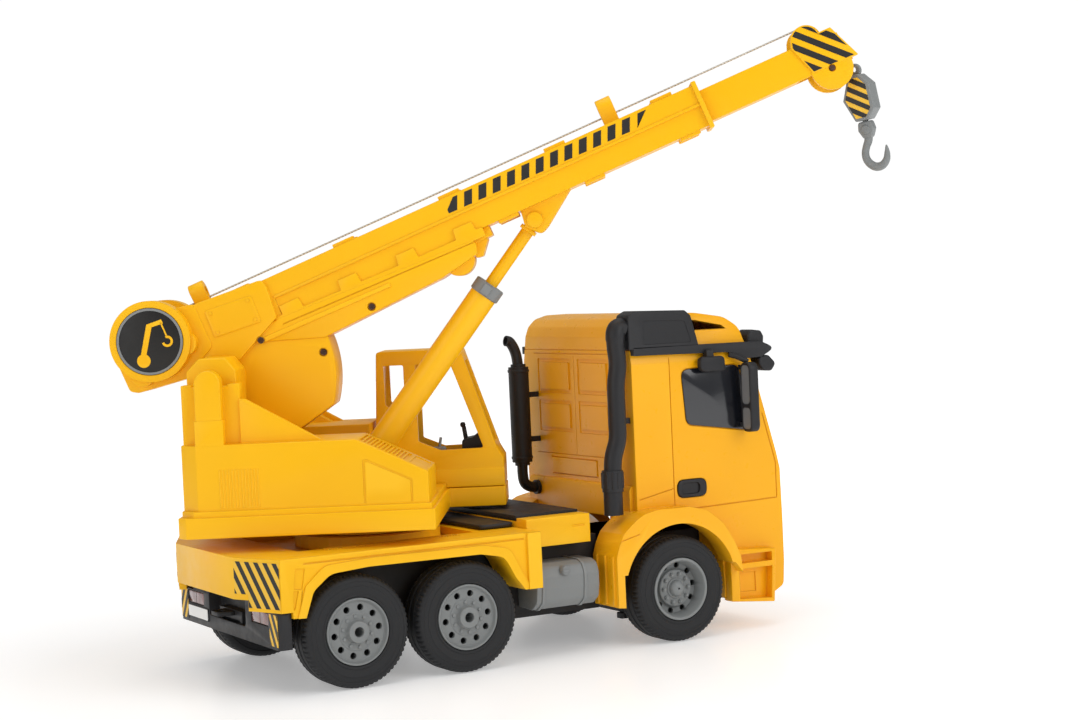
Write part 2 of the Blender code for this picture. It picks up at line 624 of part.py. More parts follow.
def upper_deck(deck):
    plan = [(-88.6, -64.7), (-83.9, -69.4), (42.5, -69.4), (42.5, 33), (73.4, 33), (73.4, 69.4),
            (-83.9, 69.4), (-88.6, 64.7)]
    ob = prism(plan, 8.0, 18.6)
    side = [(-86.8, 12), (-86.8, 55), (3.7, 55), (39.6, 37.4), (39.6, 12)]
    body = prism(side, -66.4, -19, "Y")
    body = common(body, prism([(-86.8, -57.4), (-77.8, -66.4), (60, -66.4), (60, -19), (-86.8, -19)],
                              5, 70))
    ob = fuse(ob, body)
    far = [(-86.8, 12), (-86.8, 57), (1.6, 57), (1.6, 12)]
    body = prism(far, 19, 66.4, "Y")
    body = common(body, prism([(-86.8, 57.4), (-77.8, 66.4), (60, 66.4), (60, 19), (-86.8, 19)], 5, 70))
    ob = fuse(ob, body)
    ob = fuse(ob, box(-86.8, -77, -20, 20, 12, 52.0))
    for s in (-1, 1):
        wall = [(-85.4, 50), (-85.4, 85.5), (-55, 85.5), (-55, 77), (-18, 54.0), (-18, 50), (-80, 50)]
        y0, y1 = span(s, 50, 59)
        ob = fuse(ob, prism(wall, y0, y1, "Y"))
        post = [(-77.3, 50), (-77.3, 86.0)] + arc(-70.5, 86.0, 6.8, 168, 12, 8) + [(-63.7, 86.0),
                                                                                   (-63.7, 50)]
        y0, y1 = span(s, 57, 66)
        ob = fuse(ob, prism(post, y0, y1, "Y"))
        hub = [(-83.5, 50), (-83.5, 92), (-77, 98.6), (-63.0, 98.6), (-58, 92), (-58, 50)]
        y0, y1 = span(s, 21.2, 51)
        ob = fuse(ob, prism(hub, y0, y1, "Y"))
    ob = fuse(ob, rod((PIVOT[0], -23, PIVOT[2]), (PIVOT[0], 23, PIVOT[2]), 4.0, 16))
    ob = fuse(ob, lathe([(9, 2.6), (32, 2.6), (32, 9), (9, 9)], (0, 0, 0), "Z", 28))
    hollow = [(-84.0, 6), (-84.0, 52), (2.0, 52), (37.0, 35), (37.0, 6)]
    hollow = prism(hollow, -63.5, -21.5, "Y")
    hollow = common(hollow, prism([(-84, -56), (-76.5, -63.5), (60, -63.5), (60, -21.5), (-84, -21.5)],
                                  5, 70))
    ob = carve(ob, hollow)
    hollow = prism([(-84.0, 6), (-84.0, 54), (-1.0, 54), (-1.0, 6)], 21.5, 63.5, "Y")
    hollow = common(hollow, prism([(-84, 56), (-76.5, 63.5), (60, 63.5), (60, 21.5), (-84, 21.5)], 5, 70))
    ob = carve(ob, hollow, box(-34, 14, -13, 13, 10.0, 30.0))
    finish(ob, "upper_deck", deck, YELLOW, 0.3)


CAB_U = [(2.0, 18.9), (73.1, 18.9), (73.1, 34), (69.8, 40.0), (51.7, 95.3), (5.3, 95.3)]


def operator_cab(deck):
    ob = prism(CAB_U, 33.3, 69.1, "Y")
    inner = [(4.6, 21.4), (70.6, 21.4), (70.6, 33.2), (67.2, 39.2), (50.0, 92.6), (7.6, 92.6)]
    ob = carve(ob, prism(inner, 36.0, 66.4, "Y"))
    rear = [(9.0, 66), (9.0, 87.6), (20.0, 87.6), (20.0, 57.5)]
    front = [(26.6, 87.6), (45.8, 87.6), (62.4, 40.2), (38.7, 39.8), (26.6, 45.0)]
    ob = carve(ob, prism(rear, 30, 72, "Y"), prism(front, 30, 72, "Y"))
    shield = [(57.5, 88.5), (48.5, 88.5), (63.6, 42.5), (75, 42.5)]
    ob = carve(ob, prism(shield, 37.6, 64.8, "Y"))
    finish(ob, "operator_cab", deck, YELLOW, 0.3)
    seat = [(14, 21.7), (34, 21.7), (34, 32), (22, 33), (18, 58), (14, 58)]
    ob = prism(seat, 42, 58, "Y")
    rest = [(24, 34.2), (27, 41.0), (41, 41.0), (41, 38.5), (38, 34.2)]
    ob = fuse(ob, prism(rest, 37.0, 42.6, "Y"), box(26, 33, 37.0, 42.6, 21.7, 35))
    finish(ob, "operator_seat", deck, GREY, 0.5)
    desk = [(50, 21.7), (64, 21.7), (64, 38.5), (61.5, 49.5), (56, 45.5), (50, 44.5)]
    ob = prism(desk, 41, 60, "Y")
    ob = fuse(ob, rod((52, 45, 43), (51.2, 45, 52), 0.9, 10))
    finish(ob, "operator_console", deck, BLACK, 0.5)


# ---------------------------------------------------------------- boom

def boom_base(boom):
    girder = prism([(-6, 16.4), (-6, 39.1), (289, 39.1), (289, 16.4)], -14, 14, "Y")
    for s in (-1, 1):
        y0, y1 = span(s, 13.2, 16)
        girder = carve(girder, box(42, 286, y0, y1, 10, 28.6))
    shell = [(14, 14), (40, 17.2), (150, 12.6), (151, 10), (149.5, 5), (127, 1.0), (58, -2)]
    low = [(47.0, -36.2), (22, -41.5), (5, -38), (-11, -27), (-18, -8), (-18, 8)]
    sector = [(59.4, -2.0)] + arc(0, 0, 59.5, -4, -37, 8) + low + [(14, 17)]
    ob = fuse(girder, prism(shell, -15.2, 15.2, "Y"), prism(sector, -14.4, 14.4, "Y"))
    tail = rounded([(-48, 14), (-44, 11.5), (-18, 8), (2, 18), (2, 42.5), (-14, 46), (-36, 46),
                    (-48, 36)], 3, 2)
    ob = fuse(ob, prism(tail, -18, 18, "Y"))
    cover = [(38, 12), (38, 18.3), (42.3, 18.2), (42.3, 23.0), (53.6, 23.0), (54.2, 17.7), (75.8, 17.2)]
    cover += [(76.4, 22.6), (87.0, 22.4), (87.6, 17.0), (109.0, 16.6), (109.6, 22.0), (120.0, 21.8)]
    cover += [(120.6, 16.4), (142.2, 16.3), (142.8, 22.0), (153.4, 21.8), (154.0, 17.2), (157.5, 16.8),
              (157.5, 12)]
    ob = fuse(ob, prism(cover, -14.9, 14.9, "Y"))
    plate = [(-4, 20), (-4, 41), (3, 42.2), (39.8, 39.6), (40.8, 35), (39.2, 18.1), (12.1, 5.6),
             (-6, 6)]
    ob = fuse(ob, prism(rounded(plate, [0, 3, 3, 3, 0, 2, 2, 0], 2), -17.2, 17.2, "Y"))
    for s in (-1, 1):
        y0, y1 = span(s, 15, 26)
        ring = prism(circle(DRUM[0], DRUM[1], 21.4, 28, 2), y0, y1, "Y")
        for a in (math.radians(-28), math.radians(-128)):
            lobe = circle(DRUM[0] + 18.5 * math.cos(a), DRUM[1] + 18.5 * math.sin(a), 6.0, 10, 5)
            ring = fuse(ring, prism(lobe, *span(s, 16, 24.5), "Y"))
        ob = fuse(ob, ring)
        ob = carve(ob, prism(circle(DRUM[0], DRUM[1], 17.6, 28, 2), *span(s, 24.8, 27), "Y"))
        rib = [(27, 8.6), (27, 11.4), (101, 10.2), (101, 8.0)]
        y0, y1 = span(s, 14, 16.4)
        ob = fuse(ob, prism(rib, y0, y1, "Y"))
        y0, y1 = span(s, 14.0, 20.6)
        ob = fuse(ob, prism(circle(0, 0, 10, 16), y0, y1, "Y"))
    for x in (20.0, 81.2, 142.4, 203.6, 265.0):
        ob = fuse(ob, box(x, x + 12, -11.5, 11.5, 38, 41))
    for x in (216.5, 271.5):
        ob = fuse(ob, box(x, x + 12, -11.5, 11.5, 15.0, 17))
    collar = box(288.0, 290.6, -15.8, 15.8, 14.6, 40.8)
    ob = fuse(ob, collar)
    bracket = rounded([(179.6, 17.5), (210.1, 17.5), (189.7, 2.6), (184.5, 1.2), (178.4, 7.6)],
                      [0, 0, 4, 4, 4], 3)
    for s in (-1, 1):
        y0, y1 = span(s, 5.2, 8.6)
        ob = fuse(ob, prism(bracket, y0, y1, "Y"))
    px, pz = CYLINDER_PIN
    pin = fuse(rod((px, -9.6, pz), (px, 9.6, pz), 2.2, 12),
               prism(circle(px, pz, 4.3, 14, 7), -10.4, -8.1, "Y"))
    ob = fuse(ob, pin)
    for x in (0.0, 238.6):
        hoop = arc(0, 48.4, 5.0, 0, 180, 6) + [(-5, 38), (5, 38)]
        loop = prism(hoop, x, x + 8.4, "X")
        loop = carve(loop, prism(rounded([(-2.8, 43.0), (2.8, 43.0), (2.8, 50.2), (-2.8, 50.2)], 1.5,
                                         2), x - 1, x + 10, "X"))
        ob = fuse(ob, loop)
    ob = carve(ob, box(118, 300, -11.7, 11.7, 17.6, 35.6))
    ob = carve(ob, rod((DRUM[0], -14.5, DRUM[1]), (DRUM[0], 14.5, DRUM[1]), 11.4, 20))
    ob = carve(ob, rod((DRUM[0], -22.0, DRUM[1]), (DRUM[0], 22.0, DRUM[1]), 2.4, 12))
    ob = carve(ob, box(-20, -0.6, -2.2, 2.2, 43.3, 49.4), box(-26, -10, -2.3, 2.3, 42.0, 56.0))
    ob = carve(ob, rod((0, -22, 0), (0, 22, 0), 4.4, 16))
    finish(ob, "boom_base", boom, YELLOW, 0.3)


def boom_small(boom):
    for s, side in ((-1, "right"), (1, "left")):
        cap = prism(circle(DRUM[0], DRUM[1], 17.2, 28, 2), *span(s, 25.1, 26.4), "Y")
        finish(cap, "winch_cap_" + side, boom, BLACK, 0.4)


def boom_inner(slide):
    ob = box(176, 349, -11.3, 11.3, 18.0, 35.2)
    ob = carve(ob, box(174, 352, -6.4, 6.4, 20.0, 33.2))
    ob = carve(ob, box(341, 352, -9.0, 9.0, 10.0, 40.0))
    head = [(343.4, 35.4)] + arc(354.2, 35.4, 8.0, 165, 20, 7) + [(367.2, 35.6), (375, 17.9),
                                                                  (349.2, 17.0)]
    for s in (-1, 1):
        y0, y1 = span(s, 9.0, 12.3)
        ob = fuse(ob, prism(head, y0, y1, "Y"))
        ob = fuse(ob, prism(circle(HEAD_PIN[0], HEAD_PIN[1], 11.2, 24, 5), y0, y1, "Y"))
        for p in (HEAD_PIN, TOP_PIN):
            ob = carve(ob, rod((p[0], y0 - 1, p[1]), (p[0], y1 + 1, p[1]), 1.9, 14))
    ob = fuse(ob, box(366.4, 369.0, -10, 10, 26.5, 33.5))
    finish(ob, "boom_inner", slide, YELLOW, 0.3)


def rope_wheel(parent, name, radius, half):
    """Grooved wheel with its own short axle."""
    profile = [(0.6, -12.0), (1.6, -12.0), (1.6, -half), (radius, -half), (radius - 1.9, 0),
               (radius, half),
               (1.6, half), (1.6, 12.0), (0.6, 12.0)]
    ob = lathe(profile, (0, 0, 0), "Y", 18)
    finish(ob, name, parent, YELLOW, 0.35)


def winch_drum(parent):
    profile = [(0.7, -21.5), (2.0, -21.5), (2.0, -14.2), (10.8, -14.2), (10.0, -12.6), (7.0, -12.6),
               (7.0, 12.6),
               (10.0, 12.6), (10.8, 14.2), (2.0, 14.2), (2.0, 21.5), (0.7, 21.5)]
    finish(lathe(profile, (0, 0, 0), "Y", 18), "winch_drum", parent, BLACK, 0.5)


def cylinder(boom, slide, length):
    """Luffing cylinder; the rod hangs on the boom pin and the tube slides on it (x away from the pin)."""
    ob = rod((3.0, 0, 0), (128.0, 0, 0), 3.5, 16)
    ob = fuse(ob, prism(circle(0, 0, 6.2, 16, 5), -4.8, 4.8, "Y"))
    ob = fuse(ob, rod((5.6, 0, 0), (8.0, 0, 0), 5.4, 16))
    ob = carve(ob, rod((0, -7, 0), (0, 7, 0), 2.6, 12))
    finish(ob, "cylinder_rod", boom, YELLOW, 0.3)
    foot = length
    tube = rod((48.9, 0, 0), (foot - 5, 0, 0), 7.5, 24)
    tube = carve(tube, rod((40.0, 0, 0), (foot - 14.0, 0, 0), 3.85, 16))
    tube = fuse(tube, prism(circle(foot - 4, 0, 4.5, 12, 4), -4.0, 4.0, "Y"))
    finish(tube, "cylinder_tube", slide, YELLOW, 0.3)
    ring = lathe([(3.85, 41.5), (8.3, 41.5), (8.3, 48.6), (3.85, 48.6)], (0, 0, 0), "X", 24)
    finish(ring, "cylinder_collar", slide, GREY, 0.35, 0.2)


# ---------------------------------------------------------------- rope and hook

def ropes(boom, slide):
    n = TOP_PIN[1] + 8.9
    ob = sweep([(-12.5, -0.7, 44.3), (2.0, -0.7, n), (286.0, -0.7, n)], 0.45, 6)
    finish(ob, "hoist_rope_base", boom, (0.55, 0.53, 0.48, 1.0), 0.8)
    ob = rod((192.0, 0.7, n), (TOP_PIN[0] + 1.0, 0.7, n), 0.45, 6)
    finish(ob, "hoist_rope_head", slide, (0.55, 0.53, 0.48, 1.0), 0.8)


def hook_line(line, block):
    """Rope from the head wheel, the block hoisted on it and the hook under the block."""
    x, z = BLOCK_EYE
    rope = rod((x - 4.6, 0, z + 9.3), (x - 2.2, 0, z + 4.6), 0.45, 6)
    finish(rope, "hoist_rope_drop", line, (0.55, 0.53, 0.48, 1.0), 0.8)
    shape = [(-1.8, -2.6), (3.2, -2.6), (8.2, -8.4), (8.2, -21.9), (3.6, -26.9), (-3.6, -26.9),
             (-8.2, -14.9), (-4.0, -6.4)]
    ob = prism(shape, -5.0, 5.0, "Y")
    ob = fuse(ob, prism(circle(0, 0, 3.6, 18), -1.6, 1.6, "Y"))
    ob = carve(ob, rod((0, -3, 0.4), (0, 3, 0.4), 1.5, 14))
    ob = carve(ob, rod((0, 0, -29.4), (0, 0, -23.9), 1.9, 16))
    finish(ob, "hook_block", block, GREY, 0.4, 0.1)
    ob = rod((0, 0, -24.4), (0, 0, -28.0), 1.5, 12)
    shank = [(-3.6, -27.4), (3.6, -27.4), (4.4, -31.9), (2.2, -36.4), (-2.2, -36.4), (-4.4, -31.9)]
    ob = fuse(ob, prism(rounded(shank, 1, 2), -2.6, 2.6, "Y"))
    path = [(0, 0, -33.4), (-0.6, 0, -37.4), (-2.4, 0, -40.4), (-3.8, 0, -43.6), (-3.9, 0, -47.0)]
    path += [(-2.2, 0, -50.2), (0.8, 0, -52.2), (4.2, 0, -52.0), (7.0, 0, -49.6), (8.2, 0, -46.0)]
    path += [(8.6, 0, -42.0)]
    radii = [2.3, 2.2, 2.0, 2.0, 2.1, 2.2, 2.3, 2.2, 1.9, 1.5, 0.5]
    ob = fuse(ob, sweep(path, radii, 10))
    finish(ob, "hook", block, GREY, 0.4, 0.1)


def main():
    for ob in list(bpy.data.objects):
        bpy.data.objects.remove(ob)
    truck = frame("truck", None, (-SLEW_X, 0, -FLOOR_HEIGHT))
    chassis_frame(truck)
    deck_body(truck)
    deck_bridge(truck)
    step_plates(truck)
    rear_bumper(truck)
    tank(truck, -1, "right")
    tank(truck, 1, "left")
    driven_axle(truck, AXLES[0], "rear")
    driven_axle(truck, AXLES[1], "middle")
    steering(truck)
    cab_shell(truck)
    cab_glass(truck)
    cab_dress(truck)
    slew_ring(truck)

    deck = frame("slewing_axis", truck, (SLEW_X, 0, DECK_TOP), (0, 0, SWING))
    upper_deck(deck)
    operator_cab(deck)

    boom = frame("boom_pivot_axis", deck, PIVOT, (0, -BOOM_ANGLE, 0))
    boom_base(boom)
    boom_small(boom)
    winch_drum(frame("winch_axis", boom, (DRUM[0], 0, DRUM[1])))
    slide = frame("telescope", boom, (0, 0, 0))
    boom_inner(slide)
    ropes(boom, slide)
    rope_wheel(frame("top_wheel_axis", slide, (TOP_PIN[0], 0, TOP_PIN[1])), "rope_wheel_top", 8.2, 3.6)
    rope_wheel(frame("head_wheel_axis", slide, (HEAD_PIN[0], 0, HEAD_PIN[1])), "rope_wheel_head",
               HEAD_WHEEL, 3.6)

    a = math.radians(BOOM_ANGLE)
    px = PIVOT[0] + CYLINDER_PIN[0] * math.cos(a) - CYLINDER_PIN[1] * math.sin(a)
    pz = PIVOT[2] + CYLINDER_PIN[0] * math.sin(a) + CYLINDER_PIN[1] * math.cos(a)
    dx = CYLINDER_FOOT[0] - px
    dz = CYLINDER_FOOT[1] - pz
    lean = math.degrees(math.atan2(dz, dx)) - BOOM_ANGLE
    pin = frame("cylinder_pin_axis", boom, (CYLINDER_PIN[0], 0, CYLINDER_PIN[1]), (0, -lean, 0))
    cylinder(pin, frame("cylinder_stroke", pin, (0, 0, 0)), math.hypot(dx, dz))

    line = frame("hook_line_axis", slide, (HEAD_PIN[0], 0, HEAD_PIN[1]), (0, BOOM_ANGLE, 0))
    hoist = frame("hoist", line, (BLOCK_EYE[0], 0, BLOCK_EYE[1]), (0, -BLOCK_LEAN, 0))
    hook_line(line, frame("hook_swivel_axis", hoist, (0, 0, 0), (0, 0, BLOCK_TURN)))


main()
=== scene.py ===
"""Looks of the toy crane truck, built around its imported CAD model.

Lengths in the functions are millimetres. Truck pieces are written from the ground under the
rear axle, deck pieces from the slewing axis on the chassis deck, boom pieces from the pivot.
"""

import math

import bmesh
import bpy
from mathutils import Matrix, Vector

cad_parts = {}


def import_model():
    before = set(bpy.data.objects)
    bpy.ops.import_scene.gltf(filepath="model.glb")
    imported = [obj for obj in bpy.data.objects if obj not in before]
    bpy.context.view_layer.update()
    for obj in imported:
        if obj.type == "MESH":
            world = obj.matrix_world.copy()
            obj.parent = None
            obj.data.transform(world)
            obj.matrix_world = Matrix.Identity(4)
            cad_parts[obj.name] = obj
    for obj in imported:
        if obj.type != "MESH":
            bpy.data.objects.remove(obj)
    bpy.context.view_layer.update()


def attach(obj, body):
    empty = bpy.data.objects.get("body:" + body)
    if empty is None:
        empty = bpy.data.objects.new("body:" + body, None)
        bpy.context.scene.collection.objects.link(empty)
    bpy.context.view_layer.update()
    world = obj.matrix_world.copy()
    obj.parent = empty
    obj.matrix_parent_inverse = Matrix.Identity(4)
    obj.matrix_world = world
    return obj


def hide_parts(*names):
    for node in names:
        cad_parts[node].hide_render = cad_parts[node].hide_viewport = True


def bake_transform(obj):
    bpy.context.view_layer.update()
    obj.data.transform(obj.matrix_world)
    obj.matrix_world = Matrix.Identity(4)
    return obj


MM = 0.001
FLOOR_HEIGHT = 20.0
SLEW_X = 40.0
DECK_TOP = 69.0
AXLES = (0.0, 62.0, 192.5)
WHEEL_RADIUS = 28.8
SWING = -31.0
BOOM_ANGLE = 21.65
PIVOT = (-70.5, 0.0, 86.5)
CYLINDER_PIN = (184.3, 9.1)
CYLINDER_FOOT = (-11.5, 20.0)
HEAD_PIN = (359.1, 17.3)
HEAD_WHEEL = 9.5
TOP_PIN = (353.6, 36.4)
DRUM = (-25.7, 33.4)
BLOCK_EYE = (13.0, -0.9)
BLOCK_LEAN = 10.0
BLOCK_TURN = -30.0
FLOOR_HALF = 3000.0
CAMERA_TURN = (-29.27, 2.21, -2.60)  # azimuth, elevation and roll in degrees
CAMERA_PLACE = (-429.78, -1035.19, 201.03)
SENSOR_WIDTH = 36.0
FOCAL_LENGTH = 70.62
# name, place and target in metres, size in metres, watts
SOFTBOXES = (
    ("overhead_softbox", (0.0, -0.1, 1.2), (0.0, 0.0, 0.05), 1.2, 7.0),
    ("side_softbox", (0.65, -1.45, 0.8), (0.05, 0.0, 0.1), 1.0, 9.0),
    ("rear_softbox", (-1.4, -0.45, 0.6), (0.0, 0.0, 0.12), 0.9, 4.5),
)


def moved(x=0.0, y=0.0, z=0.0):
    return Matrix.Translation((x * MM, y * MM, z * MM))


def turned(degrees, axis):
    return Matrix.Rotation(math.radians(degrees), 4, axis)


TRUCK = moved(-SLEW_X, 0, -FLOOR_HEIGHT)
DECK = TRUCK @ moved(SLEW_X, 0, DECK_TOP) @ turned(SWING, "Z")
BOOM = DECK @ moved(*PIVOT) @ turned(-BOOM_ANGLE, "Y")


def cylinder_line():
    """Matrix whose x runs from the rod pin down the cylinder, and the length to its foot."""
    a = math.radians(BOOM_ANGLE)
    px = PIVOT[0] + CYLINDER_PIN[0] * math.cos(a) - CYLINDER_PIN[1] * math.sin(a)
    pz = PIVOT[2] + CYLINDER_PIN[0] * math.sin(a) + CYLINDER_PIN[1] * math.cos(a)
    dx = CYLINDER_FOOT[0] - px
    dz = CYLINDER_FOOT[1] - pz
    lean = math.degrees(math.atan2(dz, dx)) - BOOM_ANGLE
    return BOOM @ moved(CYLINDER_PIN[0], 0, CYLINDER_PIN[1]) @ turned(-lean, "Y"), math.hypot(dx, dz)


CYLINDER, CYLINDER_LENGTH = cylinder_line()
LINE = BOOM @ moved(HEAD_PIN[0], 0, HEAD_PIN[1]) @ turned(BOOM_ANGLE, "Y")
BLOCK = LINE @ moved(BLOCK_EYE[0], 0, BLOCK_EYE[1]) @ turned(-BLOCK_LEAN, "Y") @ turned(BLOCK_TURN, "Z")


# ---------------------------------------------------------------- mesh helpers

def new_object(verts, faces, name="piece"):
    mesh = bpy.data.meshes.new(name)
    mesh.from_pydata([tuple(c * MM for c in v) for v in verts], [], faces)
    mesh.update()
    ob = bpy.data.objects.new(name, mesh)
    bpy.context.scene.collection.objects.link(ob)
    bm = bmesh.new()
    bm.from_mesh(mesh)
    bmesh.ops.recalc_face_normals(bm, faces=bm.faces)
    bm.to_mesh(mesh)
    bm.free()
    return ob


def prism(outline, lo, hi, axis="Z"):
    def place(p, t):
        if axis == "X":
            return (t, p[0], p[1])
        if axis == "Y":
            return (p[0], t, p[1])
        return (p[0], p[1], t)
    n = len(outline)
    verts = [place(p, lo) for p in outline] + [place(p, hi) for p in outline]
    faces = [tuple(range(n))[::-1], tuple(range(n, 2 * n))]
    for i in range(n):
        j = (i + 1) % n
        faces.append((i, j, n + j, n + i))
    return new_object(verts, faces)


def box(x0, x1, y0, y1, z0, z1):
    return prism([(x0, y0), (x1, y0), (x1, y1), (x0, y1)], z0, z1)


def soft_box(x0, x1, y0, y1, z0, z1, radius, axis="Z", steps=3):
    """Block whose four edges along one axis are rounded."""
    if axis == "Z":
        return prism(rounded([(x0, y0), (x1, y0), (x1, y1), (x0, y1)], radius, steps), z0, z1, "Z")
    if axis == "Y":
        return prism(rounded([(x0, z0), (x1, z0), (x1, z1), (x0, z1)], radius, steps), y0, y1, "Y")
    return prism(rounded([(y0, z0), (y1, z0), (y1, z1), (y0, z1)], radius, steps), x0, x1, "X")


def circle(cx, cy, radius, steps=24, start=0.0):
    out = []
    for i in range(steps):
        a = math.radians(start) + 2 * math.pi * i / steps
        out.append((cx + radius * math.cos(a), cy + radius * math.sin(a)))
    return out


def arc(cx, cy, radius, a0, a1, steps):
    out = []
    for i in range(steps + 1):
        a = math.radians(a0 + (a1 - a0) * i / steps)
        out.append((cx + radius * math.cos(a), cy + radius * math.sin(a)))
    return out


def rounded(points, radius, steps=4):
    """Outline with its corners turned into arcs; radius is one value or one for each corner."""
    out = []
    n = len(points)
    for i in range(n):
        r = radius[i] if isinstance(radius, (list, tuple)) else radius
        p = Vector(points[i])
        a = (Vector(points[i - 1]) - p)
        b = (Vector(points[(i + 1) % n]) - p)
        if r <= 0:
            out.append(tuple(p))
            continue
        half = a.angle(b) / 2
        cut = min(r / math.tan(half), a.length * 0.49, b.length * 0.49)
        start = p + a.normalized() * cut
        end = p + b.normalized() * cut
        for k in range(steps + 1):
            t = k / steps
            q = (1 - t) ** 2 * start + 2 * (1 - t) * t * p + t ** 2 * end
            out.append((q.x, q.y))
    return out


def outset(points, gap):
    """Outline moved outward by a gap all round."""
    turn = sum(a[0] * b[1] - b[0] * a[1] for a, b in zip(points, points[1:] + points[:1]))
    way = 1.0 if turn > 0 else -1.0
    out = []
    for i, point in enumerate(points):
        a = (Vector(point) - Vector(points[i - 1])).normalized()
        b = (Vector(points[(i + 1) % len(points)]) - Vector(point)).normalized()
        m = Vector((a.y + b.y, -a.x - b.x)).normalized()
        reach = gap / max(0.3, m.dot(Vector((a.y, -a.x))))
        shifted = Vector(point) + m * reach * way
        out.append((shifted.x, shifted.y))
    return out


def rod(p, q, radius, steps=32):
    return sweep([p, q], radius, steps)


def sweep(path, radius, steps=20):
    """Round bar along a path; radius is one value or one for each point."""
    pts = [Vector(p) for p in path]
    n = len(pts)
    verts = []
    side = None
    for i, p in enumerate(pts):
        back = (p - pts[i - 1]).normalized() if i > 0 else None
        ahead = (pts[i + 1] - p).normalized() if i < n - 1 else None
        if back is None:
            run = ahead
        elif ahead is None:
            run = back
        else:
            run = (back + ahead).normalized()
        if side is None:
            helper = Vector((0, 0, 1)) if abs(run.z) < 0.9 else Vector((1, 0, 0))
            side = run.cross(helper).normalized()
        else:
            side = (side - run * side.dot(run)).normalized()
        other = run.cross(side)
        r = radius[i] if isinstance(radius, (list, tuple)) else radius
        for k in range(steps):
            a = 2 * math.pi * k / steps
            verts.append(tuple(p + (side * math.cos(a) + other * math.sin(a)) * r))
    faces = [tuple(range(steps))[::-1]]
    for i in range(n - 1):
        for k in range(steps):
            m = (k + 1) % steps
            faces.append((i * steps + k, i * steps + m, (i + 1) * steps + m, (i + 1) * steps + k))
    faces.append(tuple(range((n - 1) * steps, n * steps)))
    return new_object(verts, faces)


def spline(points, steps=6):
    """Smooth curve through the points."""
    pts = [Vector(p) for p in points]
    out = []
    for i in range(len(pts) - 1):
        p0 = pts[max(i - 1, 0)]
        p1 = pts[i]
        p2 = pts[i + 1]
        p3 = pts[min(i + 2, len(pts) - 1)]
        for k in range(steps):
            t = k / steps
            out.append(0.5 * ((2 * p1) + (p2 - p0) * t + (2 * p0 - 5 * p1 + 4 * p2 - p3) * t * t
                              + (3 * p1 - p0 - 3 * p2 + p3) * t ** 3))
    out.append(pts[-1])
    return [tuple(p) for p in out]


def lathe(profile, centre, axis="Y", steps=64):
    """Closed (radius, along) outline turned about an axis; no point may lie on the axis."""
    cx, cy, cz = centre
    verts = []
    for i in range(steps):
        a = 2 * math.pi * i / steps
        for r, t in profile:
            c = r * math.cos(a)
            s = r * math.sin(a)
            if axis == "Y":
                verts.append((cx + c, cy + t, cz + s))
            elif axis == "Z":
                verts.append((cx + c, cy + s, cz + t))
            else:
                verts.append((cx + t, cy + c, cz + s))
    n = len(profile)
    faces = []
    for i in range(steps):
        j = (i + 1) % steps
        for k in range(n):
            m = (k + 1) % n
            faces.append((i * n + k, i * n + m, j * n + m, j * n + k))
    return new_object(verts, faces)


def drop(ob):
    mesh = ob.data
    bpy.data.objects.remove(ob)
    bpy.data.meshes.remove(mesh)


def boolean(ob, others, operation):
    for other in others:
        mod = ob.modifiers.new("shape", "BOOLEAN")
        mod.operation = operation
        mod.solver = "EXACT"
        mod.object = other
        graph = bpy.context.evaluated_depsgraph_get()
        mesh = bpy.data.meshes.new_from_object(ob.evaluated_get(graph))
        ob.modifiers.clear()
        old = ob.data
        ob.data = mesh
        bpy.data.meshes.remove(old)
        drop(other)
    return ob


def fuse(ob, *others):
    return boolean(ob, others, "UNION")


def carve(ob, *others):
    return boolean(ob, others, "DIFFERENCE")


def common(ob, *others):
    return boolean(ob, others, "INTERSECT")


def joined(*obs):
    """One object out of several that needn't touch."""
    bm = bmesh.new()
    for ob in obs:
        bm.from_mesh(ob.data)
    bm.to_mesh(obs[0].data)
    bm.free()
    for ob in obs[1:]:
        drop(ob)
    return obs[0]


def span(sign, a, b):
    return (min(sign * a, sign * b), max(sign * a, sign * b))


def plan_side(points, sign):
    return [(x, sign * y) for x, y in points]


def end_side(points, sign):
    return [(sign * y, z) for y, z in points]


def bevel(ob, width=0.4, segments=2, angle=40.0):
    """Round the sharp edges of a clean piece."""
    bm = bmesh.new()
    bm.from_mesh(ob.data)
    bmesh.ops.remove_doubles(bm, verts=bm.verts, dist=2e-6)
    bmesh.ops.dissolve_limit(bm, angle_limit=math.radians(0.1), verts=bm.verts, edges=bm.edges)
    bm.to_mesh(ob.data)
    bm.free()
    mod = ob.modifiers.new("edge", "BEVEL")
    mod.width = width * MM
    mod.segments = segments
    mod.limit_method = "ANGLE"
    mod.angle_limit = math.radians(angle)
    mod.use_clamp_overlap = True
    graph = bpy.context.evaluated_depsgraph_get()
    mesh = bpy.data.meshes.new_from_object(ob.evaluated_get(graph))
    ob.modifiers.clear()
    old = ob.data
    ob.data = mesh
    bpy.data.meshes.remove(old)
    return ob


def shade(ob, angle):
    bm = bmesh.new()
    bm.from_mesh(ob.data)
    bmesh.ops.remove_doubles(bm, verts=bm.verts, dist=2e-6)
    for face in bm.faces:
        face.smooth = True
    for edge in bm.edges:
        edge.smooth = len(edge.link_faces) == 2 and edge.calc_face_angle(0.0) < math.radians(angle)
    bm.to_mesh(ob.data)
    bm.free()


def emit(ob, name, place, body, material, nodes=(), angle=32.0):
    """Put a piece in the row frame, on its body, with its material."""
    shade(ob, angle)
    ob.name = name
    ob.data.name = name
    ob.data.transform(place)
    ob.data.materials.clear()
    ob.data.materials.append(material)
    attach(ob, body)
    if nodes:
        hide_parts(*nodes)
    return ob


# ---------------------------------------------------------------- materials

def surface(name, slot):
    mat = bpy.data.materials.new(name)
    mat.use_nodes = True
    mat["slot"] = slot
    tree = mat.node_tree
    return mat, tree, tree.nodes["Principled BSDF"]


